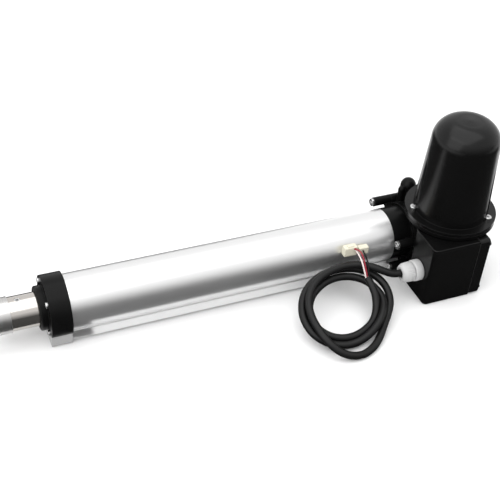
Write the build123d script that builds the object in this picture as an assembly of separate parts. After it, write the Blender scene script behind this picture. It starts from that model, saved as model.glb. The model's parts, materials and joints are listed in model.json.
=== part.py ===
from build123d import *
import math
import os

# Linear actuator: an upright motor turns a worm, the worm turns a wheel on a
# long screw, and a nut on the screw pushes a rod out of a round tube.
# Millimetres. The origin is the centre of the tube's gearbox end. +X runs
# along the tube towards the gearbox, -Y is the junction box side, +Z is up.

# Driving sizes
STROKE = 250.0
TUBE_SPARE = 119.0            # tube length beyond the stroke: nut, bushes and both ends
RUNNING_GAP = 0.05            # radial gap of a shaft in its bearing or bush
SEAT_GAP = 0.03               # radial gap of a fixed piece in its seat
FREE_GAP = 0.4                # gap between pieces that must not rub
OVERCUT = 1.0                 # how far a cutting tool runs past the face it opens

ROD_RADIUS = 18.0
ROD_WALL = 3.5
ROD_PROUD = 28.0              # rod showing beyond the boss when drawn in
ROD_END_STEP = 1.0            # rod end wider than the rod
ROD_END_LENGTH = 45.0
ROD_END_SPIGOT = 22.0
FORK_SLOT = 15.5
FORK_DEPTH = 35.0
FORK_HOLE_RADIUS = 6.0
FORK_HOLE_BACK = 20.0         # fork hole behind the tip
LOCK_SCREW_RADIUS = 3.0
LOCK_SCREW_BACK = 9.4         # lock screw behind the rod's front edge

BUSH_WALL = 3.0
BUSH_LENGTH = 31.0
BUSH_RECESS = 2.0             # bush sunk below the end of the cap's spigot
SEAL_WALL = 4.0
SEAL_LENGTH = 7.0
SPIGOT_WALL = 3.5             # cap's spigot round the bush
TUBE_WALL = 5.5
KEEL_WIDTH = 46.6             # flat-bottomed rib under the round tube
KEEL_STEP = 1.8               # keel's flat below the round wall
KEEL_LIFT = 4.5               # keel's flat above the surface it lies over
KEEL_GROOVE_RADIUS = 1.3

CAP_STEP = 3.5                # cap wider than the tube
CAP_LENGTH = 22.0
CAP_FOOT_WIDTH = 50.0
CAP_FOOT_ROUND = 4.0
CAP_SPIGOT = 14.0
BOSS_WALL = 5.5
BOSS_LENGTH = 8.0
CAP_SCREW_RADIUS = 2.0
CAP_SCREW_HEAD = 3.5
CAP_SCREW_SINK = 2.0
CAP_SCREW_LENGTH = 20.0

SCREW_RADIUS = 10.0
SCREW_ROOT = 1.0              # plain journals are this much thinner than the thread
NUT_LENGTH = 32.0
NUT_REST = 12.0               # nut's rear face ahead of the tube's end
NUT_GAP = 0.7
NUT_SPIGOT = 18.0
NUT_PIN_RADIUS = 2.0
GUIDE_RING_WIDTH = 14.0
GUIDE_RING_THICKNESS = 2.5
TIP_BUSH_LENGTH = 12.0
TIP_BUSH_BORE = 8.0
END_STOP_GAP = 4.0

COLLAR_LENGTH = 22.0
COLLAR_SPIGOT = 10.0
COLLAR_WALL = 4.0             # collar's wall behind the front bearing
BODY_LENGTH = 55.0
BODY_WALL = 6.4
COVER_LENGTH = 19.0
FRAME_SCREW_STEP = 5.6        # frame screws outside the body's radius
FRAME_SCREW_ANGLES = (19.0, -41.0, 139.0, 199.0)   # from -Y towards +Z
FRAME_BOSS_RADIUS = 5.3
FRAME_SCREW_RADIUS = 2.5
FRAME_SCREW_HEAD = 4.5
FRAME_SCREW_GRIP = 14.0
BOSS_OVERRUN = 4.0            # boss longer than the screw in it
COVER_SCREW_STEP = -1.0       # cover screws inside the body's radius
COVER_SCREW_ANGLES = (55.0, -55.0, 125.0, 235.0)
COVER_SCREW_SINK = 3.0
MOUNT_HOLE_RADIUS = 2.5       # tapping size of an M6 thread
MOUNT_HOLE_CIRCLE = 26.0
MOUNT_HOLE_DEPTH = 12.0
FRONT_BEARING = (10.0, 21.0, 12.0)    # bore radius, outer radius, width
REAR_BEARING = (8.5, 17.5, 10.0)
WORM_BEARING = (4.0, 11.0, 7.0)
RETAINER_WALL = 4.0

WHEEL_TEETH = 30
MODULE = 1.6
WORM_RADIUS = 8.4
WHEEL_WIDTH = 18.0
WHEEL_CAVITY_GAP = 2.6
HUB_STEP = 3.0                # hub longer than the teeth at the front
WORM_LENGTH = 30.0
WORM_CAVITY_GAP = 3.0
WHEEL_BACK = 61.8             # wheel's mid plane behind the tube's end
KEY_WIDTH = 5.0
KEY_HEIGHT = 2.2              # key standing out of the shaft
KEY_BOTTOM = 6.0
HUB_RADIUS = 16.0
SPACER_RADIUS = 13.0
LUG = (40.5, 24.5, 9.0, 53.5)         # far-side lug: x, y, radius, top
LUG_PIN = (30.0, 20.5, 4.0, 47.5)     # the smaller one beside it

DECK_HEIGHT = 46.0            # housing flange's top above the tube axis
FLANGE_STEP = 9.1             # flange wider than the dome's foot
FLANGE_THICKNESS = 4.0
SKIRT_DEPTH = 8.0
CAN_RADIUS = 31.5
CAN_WALL = 2.0
CAN_GAP = 3.0                 # air between can and dome
CAN_HEADROOM = 13.5
DOME_WALL = 2.5
DOME_TAPER = 4.7
DOME_HEIGHT = 112.5
DOME_ROUND = 25.0
DOME_CROWN = 0.8
DOME_SCREW_STEP = 1.3         # dome screws outside the dome's foot
DOME_SCREW_ANGLES = (59.0, 167.0, 311.0)
DOME_SCREW_RADIUS = 2.0
DOME_POCKET_RADIUS = 5.0
SEAL_RING_STEP = 3.5          # seal ring outside the cavity
SEAL_RING_GROOVE = 1.1
MAGNET_THICKNESS = 4.2
MAGNET_SPLIT = 8.0            # half of the gap between the two magnets
AIR_GAP = 0.7
ARMATURE_SLOTS = 10
ARMATURE_BOTTOM = 14.0        # iron core above the deck
ARMATURE_HEADROOM = 34.0      # iron core below the can's top
WINDING_OVERHANG = 6.0
SLOT_RADIUS = 3.2
SLOT_DEPTH = 6.0
SHAFT_RADIUS = 6.0
COMMUTATOR_RADIUS = 10.0
COMMUTATOR_LENGTH = 12.0
COMMUTATOR_GAP = 8.0          # above the core, clear of the windings
BRUSH_WIDTH = 6.0
BRUSH_REACH = 22.0
TIE_BOLT_INSET = 4.2          # tie bolts inside the can's radius
TIE_BOLT_ANGLES = (0.0, 180.0)
TIE_BOLT_RADIUS = 2.0
TIE_BOLT_GRIP = 8.0
TOP_BUSH_RADIUS = 8.0
TOP_BUSH_BORE = 4.0
END_PLATE_THICKNESS = 3.0

BOX_REAR = 83.5
BOX_FRONT = 11.4
BOX_DEPTH = 43.6
BOX_TOP = 40.9
BOX_WALL = 2.5
BOX_ROUND = 5.0
BOX_LID = 3.0
LID_BEAD_WIDTH = 1.6
LID_BEAD_HEIGHT = 0.6
LID_LIP = 1.6
BOX_COVER = 14.5
BOX_GASKET = 1.0
BOX_SCREW_RADIUS = 1.75
BOX_SCREW_INSET = 6.0
BOX_POST_RADIUS = 4.2
BOX_POST_LENGTH = 12.0
BOARD_THICKNESS = 1.6
BOARD_STANDOFF = 5.0
BOX_WALL_BEHIND_WORM = 2.6    # housing left between the worm bearings and the box

CABLE_RADIUS = 4.2
GLAND_INSET = 22.0            # gland's axis from the box's far wall
GLAND_HEX = 22.0
GLAND_THREAD_RADIUS = 8.0
GLAND_HEX_LENGTH = 5.4
GLAND_GRIP_LENGTH = 7.0
GLAND_NOSE_LENGTH = 11.0
GLAND_LOCKNUT_LENGTH = 4.5
GLAND_NUT_RADIUS = 10.5
GLAND_SEAL_FRONT = 12.1       # seal's rear end ahead of the box
COIL_CENTRE = (-83.5, -87.0, -14.8)
COIL_OUTER = 58.0
COIL_INNER = 31.0
COIL_HEIGHT = 13.0
COIL_TILT = 18.0
COIL_LIFT = 0.1
WIRE_RADIUS = 0.9
WIRE_START = (-49.7, -62.5, -1.6)

# Worked-out sizes
BUSH_RADIUS = ROD_RADIUS + BUSH_WALL
SEAL_RADIUS = ROD_RADIUS + SEAL_WALL
BOSS_RADIUS = ROD_RADIUS + BOSS_WALL
ROD_BORE = ROD_RADIUS - ROD_WALL
ROD_END_RADIUS = ROD_RADIUS + ROD_END_STEP
TUBE_BORE_RADIUS = BUSH_RADIUS + SPIGOT_WALL
TUBE_RADIUS = TUBE_BORE_RADIUS + TUBE_WALL
TUBE_LENGTH = STROKE + TUBE_SPARE
KEEL_DROP = TUBE_RADIUS + KEEL_STEP
AXIS_HEIGHT = KEEL_DROP + KEEL_LIFT
CAP_RADIUS = TUBE_RADIUS + CAP_STEP
CAP_SCREW_CIRCLE = TUBE_BORE_RADIUS + TUBE_WALL / 2
NUT_RADIUS = TUBE_BORE_RADIUS - NUT_GAP
GUIDE_RING_ROOT = TUBE_BORE_RADIUS - GUIDE_RING_THICKNESS
JOURNAL_RADIUS = SCREW_RADIUS - SCREW_ROOT
WHEEL_RADIUS = WHEEL_TEETH * MODULE / 2
WHEEL_CAVITY = WHEEL_RADIUS + WHEEL_CAVITY_GAP
BODY_RADIUS = WHEEL_CAVITY + BODY_WALL
FRAME_SCREW_CIRCLE = BODY_RADIUS + FRAME_SCREW_STEP
COVER_SCREW_CIRCLE = BODY_RADIUS + COVER_SCREW_STEP
DOME_CAVITY_RADIUS = CAN_RADIUS + CAN_GAP
DOME_TOP_RADIUS = DOME_CAVITY_RADIUS + DOME_WALL
DOME_BASE_RADIUS = DOME_TOP_RADIUS + DOME_TAPER
DOME_SCREW_CIRCLE = DOME_BASE_RADIUS + DOME_SCREW_STEP
FLANGE_RADIUS = DOME_BASE_RADIUS + FLANGE_STEP
SEAL_RING_CIRCLE = DOME_CAVITY_RADIUS + SEAL_RING_STEP
TIE_BOLT_CIRCLE = CAN_RADIUS - TIE_BOLT_INSET
ARMATURE_RADIUS = CAN_RADIUS - CAN_WALL - MAGNET_THICKNESS - AIR_GAP

# Worked-out places
MOTOR_Y = -(WHEEL_RADIUS + WORM_RADIUS)
FLOOR = -AXIS_HEIGHT
CAP_REAR = -TUBE_LENGTH
CAP_FRONT = CAP_REAR - CAP_LENGTH
SPIGOT_END = CAP_REAR + CAP_SPIGOT
BOSS_FRONT = CAP_FRONT - BOSS_LENGTH
ROD_FRONT = BOSS_FRONT - ROD_PROUD
TIP = ROD_FRONT - ROD_END_LENGTH
NUT_REAR = -NUT_REST
NUT_FRONT = NUT_REAR - NUT_LENGTH
NUT_PIN_X = NUT_FRONT - NUT_SPIGOT / 2
SCREW_FRONT = NUT_FRONT - NUT_SPIGOT - STROKE - END_STOP_GAP - TIP_BUSH_LENGTH
BODY_REAR = COLLAR_LENGTH + BODY_LENGTH
COVER_REAR = BODY_REAR + COVER_LENGTH
FRONT_BEARING_X = COLLAR_LENGTH - COLLAR_WALL - FRONT_BEARING[2]
FRONT_BEARING_END = FRONT_BEARING_X + FRONT_BEARING[2]
REAR_BEARING_END = BODY_REAR + REAR_BEARING[2]
HUB_START = WHEEL_BACK - WHEEL_WIDTH / 2 - HUB_STEP
DOME_BASE = DECK_HEIGHT + FLANGE_THICKNESS
DOME_TOP = DOME_BASE + DOME_HEIGHT
DOME_WALL_TOP = DOME_TOP - DOME_ROUND
DOME_CAVITY_TOP = DOME_WALL_TOP + DOME_ROUND * 0.4
LIP = DECK_HEIGHT - FLANGE_THICKNESS
CAN_TOP = DOME_CAVITY_TOP - CAN_HEADROOM
ARMATURE_LOW = DECK_HEIGHT + ARMATURE_BOTTOM
ARMATURE_HIGH = CAN_TOP - ARMATURE_HEADROOM
COMMUTATOR_LOW = ARMATURE_HIGH + COMMUTATOR_GAP
COMMUTATOR_HIGH = COMMUTATOR_LOW + COMMUTATOR_LENGTH
UPPER_BEARING_Z = DECK_HEIGHT - 3.0 - WORM_BEARING[2]
LOWER_BEARING_Z = FLOOR + 7.3
BOX_FAR = MOTOR_Y - WORM_BEARING[1] - BOX_WALL_BEHIND_WORM
BOX_NEAR = BOX_FAR - BOX_DEPTH
LID_SEAT = BOX_TOP - BOX_LID
COVER_SEAM = BOX_REAR - BOX_COVER
BOARD_Y = BOX_FAR - BOX_WALL - BOARD_STANDOFF
GLAND_Y = BOX_FAR - GLAND_INSET


# Small helpers ------------------------------------------------------------
def rod_x(radius, start, end, y=0.0, z=0.0):
    """Round bar parallel to X."""
    bar = Cylinder(radius, end - start, align=(Align.CENTER, Align.CENTER, Align.MIN))
    return Pos(start, y, z) * Rot(0, 90, 0) * bar


def rod_y(radius, start, end, x=0.0, z=0.0):
    """Round bar parallel to Y."""
    bar = Cylinder(radius, end - start, align=(Align.CENTER, Align.CENTER, Align.MIN))
    return Pos(x, start, z) * Rot(-90, 0, 0) * bar


def rod_z(radius, start, end, x=0.0, y=0.0):
    """Round bar parallel to Z."""
    bar = Cylinder(radius, end - start, align=(Align.CENTER, Align.CENTER, Align.MIN))
    return Pos(x, y, start) * bar


def block(x_span, y_span, z_span):
    """Box between two values on each axis."""
    size = [span[1] - span[0] for span in (x_span, y_span, z_span)]
    corner = (x_span[0], y_span[0], z_span[0])
    return Pos(*corner) * Box(*size, align=(Align.MIN, Align.MIN, Align.MIN))


def facing_x(x):
    """Work plane across the tube at x: its own x is +Y, its own y is +Z."""
    return Plane(origin=(x, 0, 0), x_dir=(0, 1, 0), z_dir=(1, 0, 0))


def around_x(angle, radius):
    """Y and Z of a point round the tube axis, by angle from -Y towards +Z."""
    turn = math.radians(angle)
    return -radius * math.cos(turn), radius * math.sin(turn)


def around_motor(angle, radius):
    """X and Y of a point round the motor axis."""
    turn = math.radians(angle)
    return WHEEL_BACK + radius * math.cos(turn), MOTOR_Y + radius * math.sin(turn)


def motor_bar(radius, start, end):
    """Round bar on the motor axis."""
    return rod_z(radius, start, end, WHEEL_BACK, MOTOR_Y)


def turned_on_motor(outline):
    """Solid of revolution on the motor axis from (radius, z) corners."""
    wire = Polyline(*[(r, 0, z) for r, z in outline], close=True)
    return Pos(WHEEL_BACK, MOTOR_Y, 0) * revolve(make_face(wire), Axis.Z)


def socket_screw(radius, length, head_radius, head_height):
    """Cap screw along -Z: its head stands on z = 0 and has a hexagon socket."""
    head = rod_z(head_radius, 0, head_height)
    head = chamfer(head.edges().sort_by(Axis.Z)[-1], 0.3)
    socket = extrude(Pos(0, 0, head_height) * RegularPolygon(radius * 0.9, 6), -head_height * 0.6)
    return rod_z(radius, -length, 0) + head - socket


def ball_bearing(sizes, ball_count):
    """Two races and their balls along +Z from z = 0."""
    bore, outer, width = sizes
    wall = (outer - bore) * 0.29
    pitch = (bore + outer) / 2
    ball = (outer - bore) * 0.27
    track = Pos(0, 0, width / 2) * Torus(pitch, ball + RUNNING_GAP)
    inner = rod_z(bore + wall, 0, width) - rod_z(bore, -1, width + 1) - track
    ring = rod_z(outer, 0, width) - rod_z(outer - wall, -1, width + 1) - track
    spots = PolarLocations(pitch, ball_count)
    balls = [Pos(0, 0, width / 2) * spot * Sphere(ball) for spot in spots]
    return [inner, ring] + balls


def bearing_seat(sizes):
    """Radius of the seat that holds a bearing."""
    return sizes[1] + SEAT_GAP


def journal(sizes):
    """Radius of the shaft that runs in a bearing."""
    return sizes[0] - RUNNING_GAP


# Tube and front end ---------------------------------------------------------
def cap_screw_spots():
    """Y and Z of the four screws that hold the front cap."""
    return [around_x(angle, CAP_SCREW_CIRCLE) for angle in (45, 135, 225, 315)]


def make_outer_tube():
    keel = Rectangle(KEEL_WIDTH, KEEL_DROP, align=(Align.CENTER, Align.MAX))
    profile = Circle(TUBE_RADIUS) + keel
    profile -= Circle(TUBE_BORE_RADIUS)
    meet = math.sqrt(TUBE_RADIUS ** 2 - (KEEL_WIDTH / 2) ** 2)
    for side in (-1, 1):
        profile -= Pos(side * KEEL_WIDTH / 2, -meet - 0.5) * Circle(KEEL_GROOVE_RADIUS)
    tube = extrude(facing_x(CAP_REAR) * profile, TUBE_LENGTH)
    for y, z in cap_screw_spots():
        end = CAP_FRONT + CAP_SCREW_SINK + CAP_SCREW_LENGTH + 2 * OVERCUT
        tube -= rod_x(CAP_SCREW_RADIUS + SEAT_GAP, CAP_REAR - OVERCUT, end, y, z)
    return tube


def make_front_cap():
    foot = Rectangle(CAP_FOOT_WIDTH, AXIS_HEIGHT, align=(Align.CENTER, Align.MAX))
    foot = fillet(foot.vertices().sort_by(Axis.Y)[:2], CAP_FOOT_ROUND)
    cap = extrude(facing_x(CAP_FRONT) * (Circle(CAP_RADIUS) + foot), CAP_LENGTH)
    boss = rod_x(BOSS_RADIUS, BOSS_FRONT, CAP_FRONT)
    boss = chamfer(boss.edges().sort_by(Axis.X)[0], 1.2)
    cap += boss + rod_x(TUBE_BORE_RADIUS - RUNNING_GAP, CAP_REAR, SPIGOT_END)
    cap -= rod_x(ROD_RADIUS + FREE_GAP, BOSS_FRONT - OVERCUT, SPIGOT_END + OVERCUT)
    cap -= rod_x(BUSH_RADIUS + SEAT_GAP, bush_start(), SPIGOT_END + OVERCUT)
    cap -= rod_x(SEAL_RADIUS + SEAT_GAP, BOSS_FRONT - OVERCUT, BOSS_FRONT + SEAL_LENGTH + 0.5)
    for y, z in cap_screw_spots():
        cap -= rod_x(CAP_SCREW_RADIUS + SEAT_GAP, CAP_FRONT - OVERCUT, CAP_REAR + OVERCUT, y, z)
        cap -= rod_x(CAP_SCREW_HEAD + 0.3, CAP_FRONT - OVERCUT, CAP_FRONT + CAP_SCREW_SINK, y, z)
    return cap


def bush_start():
    """Front end of the rod's guide bush."""
    return SPIGOT_END - BUSH_RECESS - BUSH_LENGTH


def make_guide_bush():
    start = bush_start()
    bush = rod_x(BUSH_RADIUS, start, start + BUSH_LENGTH)
    return bush - rod_x(ROD_RADIUS + RUNNING_GAP, start - OVERCUT, start + BUSH_LENGTH + OVERCUT)


def make_wiper_seal():
    start = BOSS_FRONT + 0.5
    ring = rod_x(SEAL_RADIUS, start, start + SEAL_LENGTH)
    ring -= rod_x(ROD_RADIUS + RUNNING_GAP, start - 1, start + SEAL_LENGTH + 1)
    lip = Cone(ROD_RADIUS + 2.4, ROD_RADIUS, 2.4)
    return ring - Pos(start + 1.2, 0, 0) * Rot(0, 90, 0) * lip


def make_cap_screws():
    screw = Rot(0, -90, 0) * socket_screw(CAP_SCREW_RADIUS, CAP_SCREW_LENGTH, CAP_SCREW_HEAD, 4.0)
    return [Pos(CAP_FRONT + CAP_SCREW_SINK, y, z) * screw for y, z in cap_screw_spots()]


# Rod ------------------------------------------------------------------------
def make_rod_tube():
    rod = rod_x(ROD_RADIUS, ROD_FRONT, NUT_FRONT) - rod_x(ROD_BORE, ROD_FRONT - 1, NUT_FRONT + 1)
    rod -= rod_z(LOCK_SCREW_RADIUS + SEAT_GAP, 0, ROD_RADIUS + 1, ROD_FRONT + LOCK_SCREW_BACK)
    reach = ROD_RADIUS + OVERCUT
    return rod - rod_y(NUT_PIN_RADIUS + SEAT_GAP, -reach, reach, NUT_PIN_X)


def make_rod_end():
    end = rod_x(ROD_END_RADIUS, TIP, ROD_FRONT)
    end = chamfer(end.edges().sort_by(Axis.X)[0], 2.0)
    end += rod_x(ROD_BORE - SEAT_GAP, ROD_FRONT, ROD_FRONT + ROD_END_SPIGOT)
    end -= rod_z(LOCK_SCREW_RADIUS + SEAT_GAP, 6, ROD_RADIUS + 1, ROD_FRONT + LOCK_SCREW_BACK)
    slot_end = TIP + FORK_DEPTH
    reach = ROD_END_RADIUS + 1
    end -= block((TIP - 1, slot_end), (-FORK_SLOT / 2, FORK_SLOT / 2), (-reach, reach))
    return end - rod_y(FORK_HOLE_RADIUS, -reach, reach, TIP + FORK_HOLE_BACK)


def make_rod_lock_screw():
    screw = rod_z(LOCK_SCREW_RADIUS, 6.5, ROD_RADIUS - 0.5)
    socket = extrude(Pos(0, 0, ROD_RADIUS - 0.5) * RegularPolygon(1.7, 6), -3)
    return Pos(ROD_FRONT + LOCK_SCREW_BACK, 0, 0) * (screw - socket)


def guide_ring_span():
    """Start and end of the guide ring on the drive nut."""
    middle = (NUT_FRONT + NUT_REAR) / 2
    return middle - GUIDE_RING_WIDTH / 2, middle + GUIDE_RING_WIDTH / 2


def make_drive_nut():
    start, end = guide_ring_span()
    nut = rod_x(NUT_RADIUS, NUT_FRONT, NUT_REAR)
    nut -= rod_x(NUT_RADIUS + 1, start, end) - rod_x(GUIDE_RING_ROOT, start, end)
    nut += rod_x(ROD_BORE - SEAT_GAP, NUT_FRONT - NUT_SPIGOT, NUT_FRONT)
    nut -= rod_x(SCREW_RADIUS + RUNNING_GAP, NUT_FRONT - NUT_SPIGOT - 1, NUT_REAR + 1)
    reach = ROD_RADIUS + 1
    return nut - rod_y(NUT_PIN_RADIUS + SEAT_GAP, -reach, reach, NUT_PIN_X)


def make_nut_pins():
    inner = SCREW_RADIUS + FREE_GAP
    outer = ROD_RADIUS - 0.2
    pin = rod_y(NUT_PIN_RADIUS, inner, outer, NUT_PIN_X)
    return [pin, mirror(pin, Plane.XZ)]


def make_nut_guide_ring():
    start, end = guide_ring_span()
    ring = rod_x(TUBE_BORE_RADIUS - RUNNING_GAP, start + 0.1, end - 0.1)
    ring -= rod_x(GUIDE_RING_ROOT + SEAT_GAP, start, end)
    split = block((start, end), (-0.6, 0.6), (GUIDE_RING_ROOT - 1, TUBE_BORE_RADIUS + 1))
    return ring - split


# Lead screw -----------------------------------------------------------------
def make_lead_screw():
    nose = rod_x(TIP_BUSH_BORE, SCREW_FRONT, SCREW_FRONT + TIP_BUSH_LENGTH)
    nose = chamfer(nose.edges().sort_by(Axis.X)[0], 1.0)
    screw = nose + rod_x(SCREW_RADIUS, SCREW_FRONT + TIP_BUSH_LENGTH, 0)
    shoulder_end = FRONT_BEARING_X - 0.1
    screw += rod_x(SCREW_RADIUS + 2.5, shoulder_end - 4.5, shoulder_end)
    screw += rod_x(journal(FRONT_BEARING), 0, FRONT_BEARING_END)
    screw += rod_x(JOURNAL_RADIUS, FRONT_BEARING_END, BODY_REAR - 0.2)
    screw += rod_x(journal(REAR_BEARING), BODY_REAR - 0.2, REAR_BEARING_END)
    screw += rod_x(REAR_BEARING[0] - 0.5, REAR_BEARING_END, REAR_BEARING_END + 5)
    return screw - make_wheel_key()


def make_wheel_key():
    half = KEY_WIDTH / 2
    reach = WHEEL_WIDTH / 2 - 1
    height = (KEY_BOTTOM, JOURNAL_RADIUS + KEY_HEIGHT)
    return block((WHEEL_BACK - reach, WHEEL_BACK + reach), (-half, half), height)


def make_worm_wheel():
    end = BODY_REAR - 0.2
    half = WHEEL_WIDTH / 2
    wheel = rod_x(HUB_RADIUS, HUB_START, end)
    wheel += rod_x(WHEEL_RADIUS - RUNNING_GAP, WHEEL_BACK - half, WHEEL_BACK + half)
    wheel -= rod_x(JOURNAL_RADIUS + SEAT_GAP, HUB_START - OVERCUT, end + OVERCUT)
    half_key = KEY_WIDTH / 2 + SEAT_GAP
    top = JOURNAL_RADIUS + KEY_HEIGHT + 0.2
    return wheel - block((HUB_START - OVERCUT, end + OVERCUT), (-half_key, half_key), (0, top))


def make_screw_spacer():
    start = FRONT_BEARING_END + 0.1
    bore = rod_x(JOURNAL_RADIUS + SEAT_GAP, start - OVERCUT, HUB_START + OVERCUT)
    return rod_x(SPACER_RADIUS, start, HUB_START) - bore


def make_screw_tip_bush():
    end = SCREW_FRONT + TIP_BUSH_LENGTH
    start = SCREW_FRONT + 1
    bush = rod_x(ROD_BORE - RUNNING_GAP, start, end)
    return bush - rod_x(TIP_BUSH_BORE + SEAT_GAP, start - 1, end + 1)


def make_screw_lock_nut():
    start = REAR_BEARING_END + 0.1
    nut = extrude(facing_x(start) * RegularPolygon(12.0, 6), 4.4)
    return nut - rod_x(REAR_BEARING[0] - 0.5 + SEAT_GAP, start - 1, start + 6)


# Gearbox --------------------------------------------------------------------
def frame_screw_spots():
    """Y and Z of the long screws that clamp the gearbox together."""
    return [around_x(angle, FRAME_SCREW_CIRCLE) for angle in FRAME_SCREW_ANGLES]


def rear_screw_spots():
    """Y and Z of the screws that hold the rear cover."""
    return [around_x(angle, COVER_SCREW_CIRCLE) for angle in COVER_SCREW_ANGLES]


def bosses_at(spots, start, end, web_start):
    """A round boss at each spot, with a web back towards the axis."""
    bosses = []
    corner = (Align.MIN, Align.MAX, Align.CENTER)
    for y, z in spots:
        reach = math.hypot(y, z)
        web = Box(end - web_start, reach / 2, FRAME_BOSS_RADIUS, align=corner)
        turned = Rot(math.degrees(math.atan2(z, y)), 0, 0) * Pos(web_start, reach, 0) * web
        bosses.append(rod_x(FRAME_BOSS_RADIUS, start, end, y, z) + turned)
    return bosses


def make_tube_collar():
    collar = rod_x(TUBE_RADIUS, 0, COLLAR_LENGTH)
    collar += rod_x(TUBE_BORE_RADIUS - RUNNING_GAP, -COLLAR_SPIGOT, 0)
    for boss in bosses_at(frame_screw_spots(), 0, COLLAR_LENGTH, COLLAR_LENGTH - 8):
        collar += boss
    collar -= rod_x(SCREW_RADIUS + 3.5, -COLLAR_SPIGOT - 1, COLLAR_LENGTH + 1)
    collar -= rod_x(bearing_seat(FRONT_BEARING), FRONT_BEARING_X, COLLAR_LENGTH + 1)
    for y, z in frame_screw_spots():
        collar -= rod_x(FRAME_SCREW_RADIUS + SEAT_GAP, -1, COLLAR_LENGTH + 1, y, z)
    return collar


def make_bearing_retainer():
    """Ring between the front bearing and the gearbox body."""
    outer = FRONT_BEARING[1]
    ring = rod_x(outer, FRONT_BEARING_END, COLLAR_LENGTH)
    return ring - rod_x(outer - RETAINER_WALL, FRONT_BEARING_END - OVERCUT, COLLAR_LENGTH + OVERCUT)


def make_front_bearing():
    place = Pos(FRONT_BEARING_X, 0, 0) * Rot(0, 90, 0)
    return [place * piece for piece in ball_bearing(FRONT_BEARING, 9)]


def make_rear_bearing():
    place = Pos(BODY_REAR, 0, 0) * Rot(0, 90, 0)
    return [place * piece for piece in ball_bearing(REAR_BEARING, 9)]


def lug(x, y, radius, top):
    """Round-topped upright lug."""
    return rod_z(radius, 10, top - radius, x, y) + Pos(x, y, top - radius) * Sphere(radius)


def make_skirt():
    """Rounded rib under the flange, cut away over the junction box."""
    low = BODY_RADIUS + 1
    outline = [(0, low), (FLANGE_RADIUS - SKIRT_DEPTH - 3, low), (FLANGE_RADIUS - 3, LIP - 3),
               (FLANGE_RADIUS - 1.5, LIP), (0, LIP)]
    half = FLANGE_RADIUS * 2
    clear = block((WHEEL_BACK - half, BOX_REAR + BOSS_OVERRUN), (MOTOR_Y - half, BOX_FAR), (0, LIP + OVERCUT))
    return turned_on_motor(outline) - clear


def drill_gear_housing(body):
    """The housing with its gear space, bearing seats, groove and screw holes."""
    body -= rod_x(WHEEL_CAVITY, HUB_START - 2, BODY_REAR + OVERCUT)
    body -= rod_x(SPACER_RADIUS + 4, COLLAR_LENGTH - OVERCUT, BODY_REAR)
    lower_end = LOWER_BEARING_Z + WORM_BEARING[2]
    body -= motor_bar(WORM_RADIUS + WORM_CAVITY_GAP, lower_end, UPPER_BEARING_Z)
    body -= motor_bar(bearing_seat(WORM_BEARING), LOWER_BEARING_Z, lower_end + OVERCUT)
    body -= motor_bar(bearing_seat(WORM_BEARING), UPPER_BEARING_Z, DECK_HEIGHT + OVERCUT)
    groove = motor_bar(SEAL_RING_CIRCLE + SEAL_RING_GROOVE, DECK_HEIGHT - 1.9, DECK_HEIGHT + OVERCUT)
    body -= groove - motor_bar(SEAL_RING_CIRCLE - SEAL_RING_GROOVE, DECK_HEIGHT - 3, DECK_HEIGHT + 2)
    drill = FRAME_SCREW_RADIUS + SEAT_GAP
    depth = FRAME_SCREW_GRIP + OVERCUT
    for y, z in frame_screw_spots():
        body -= rod_x(drill, COLLAR_LENGTH - OVERCUT, COLLAR_LENGTH + depth, y, z)
    for y, z in rear_screw_spots():
        body -= rod_x(drill, BODY_REAR - depth, BODY_REAR + OVERCUT, y, z)
    for x, y in dome_screw_spots():
        body -= rod_z(DOME_SCREW_RADIUS + SEAT_GAP, LIP - OVERCUT, DECK_HEIGHT + OVERCUT, x, y)
    bolt_end = DECK_HEIGHT - TIE_BOLT_GRIP - OVERCUT
    for x, y in tie_bolt_spots():
        body -= rod_z(TIE_BOLT_RADIUS + SEAT_GAP, bolt_end, DECK_HEIGHT + OVERCUT, x, y)
    for x, z in box_mount_spots():
        body -= rod_y(BOX_SCREW_RADIUS + SEAT_GAP, BOX_FAR - OVERCUT, BOX_FAR + 8, x, z)
    return body


def make_gear_housing():
    body = rod_x(BODY_RADIUS, COLLAR_LENGTH, BODY_REAR)
    boss_end = COLLAR_LENGTH + FRAME_SCREW_GRIP + BOSS_OVERRUN
    for boss in bosses_at(frame_screw_spots(), COLLAR_LENGTH, boss_end, COLLAR_LENGTH):
        body += boss
    boss_start = BODY_REAR - FRAME_SCREW_GRIP - BOSS_OVERRUN
    for boss in bosses_at(rear_screw_spots(), boss_start, BODY_REAR, boss_start):
        body += boss
    body += block((COLLAR_LENGTH + 2, BODY_REAR), (BOX_FAR, -18), (FLOOR, DECK_HEIGHT - OVERCUT))
    body += block((COLLAR_LENGTH + 8, BODY_REAR), (-20, 24), (FLOOR, -18))
    body += lug(*LUG) + lug(*LUG_PIN)
    body += make_skirt() + motor_bar(FLANGE_RADIUS, LIP, DECK_HEIGHT)
    return drill_gear_housing(body)


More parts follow.
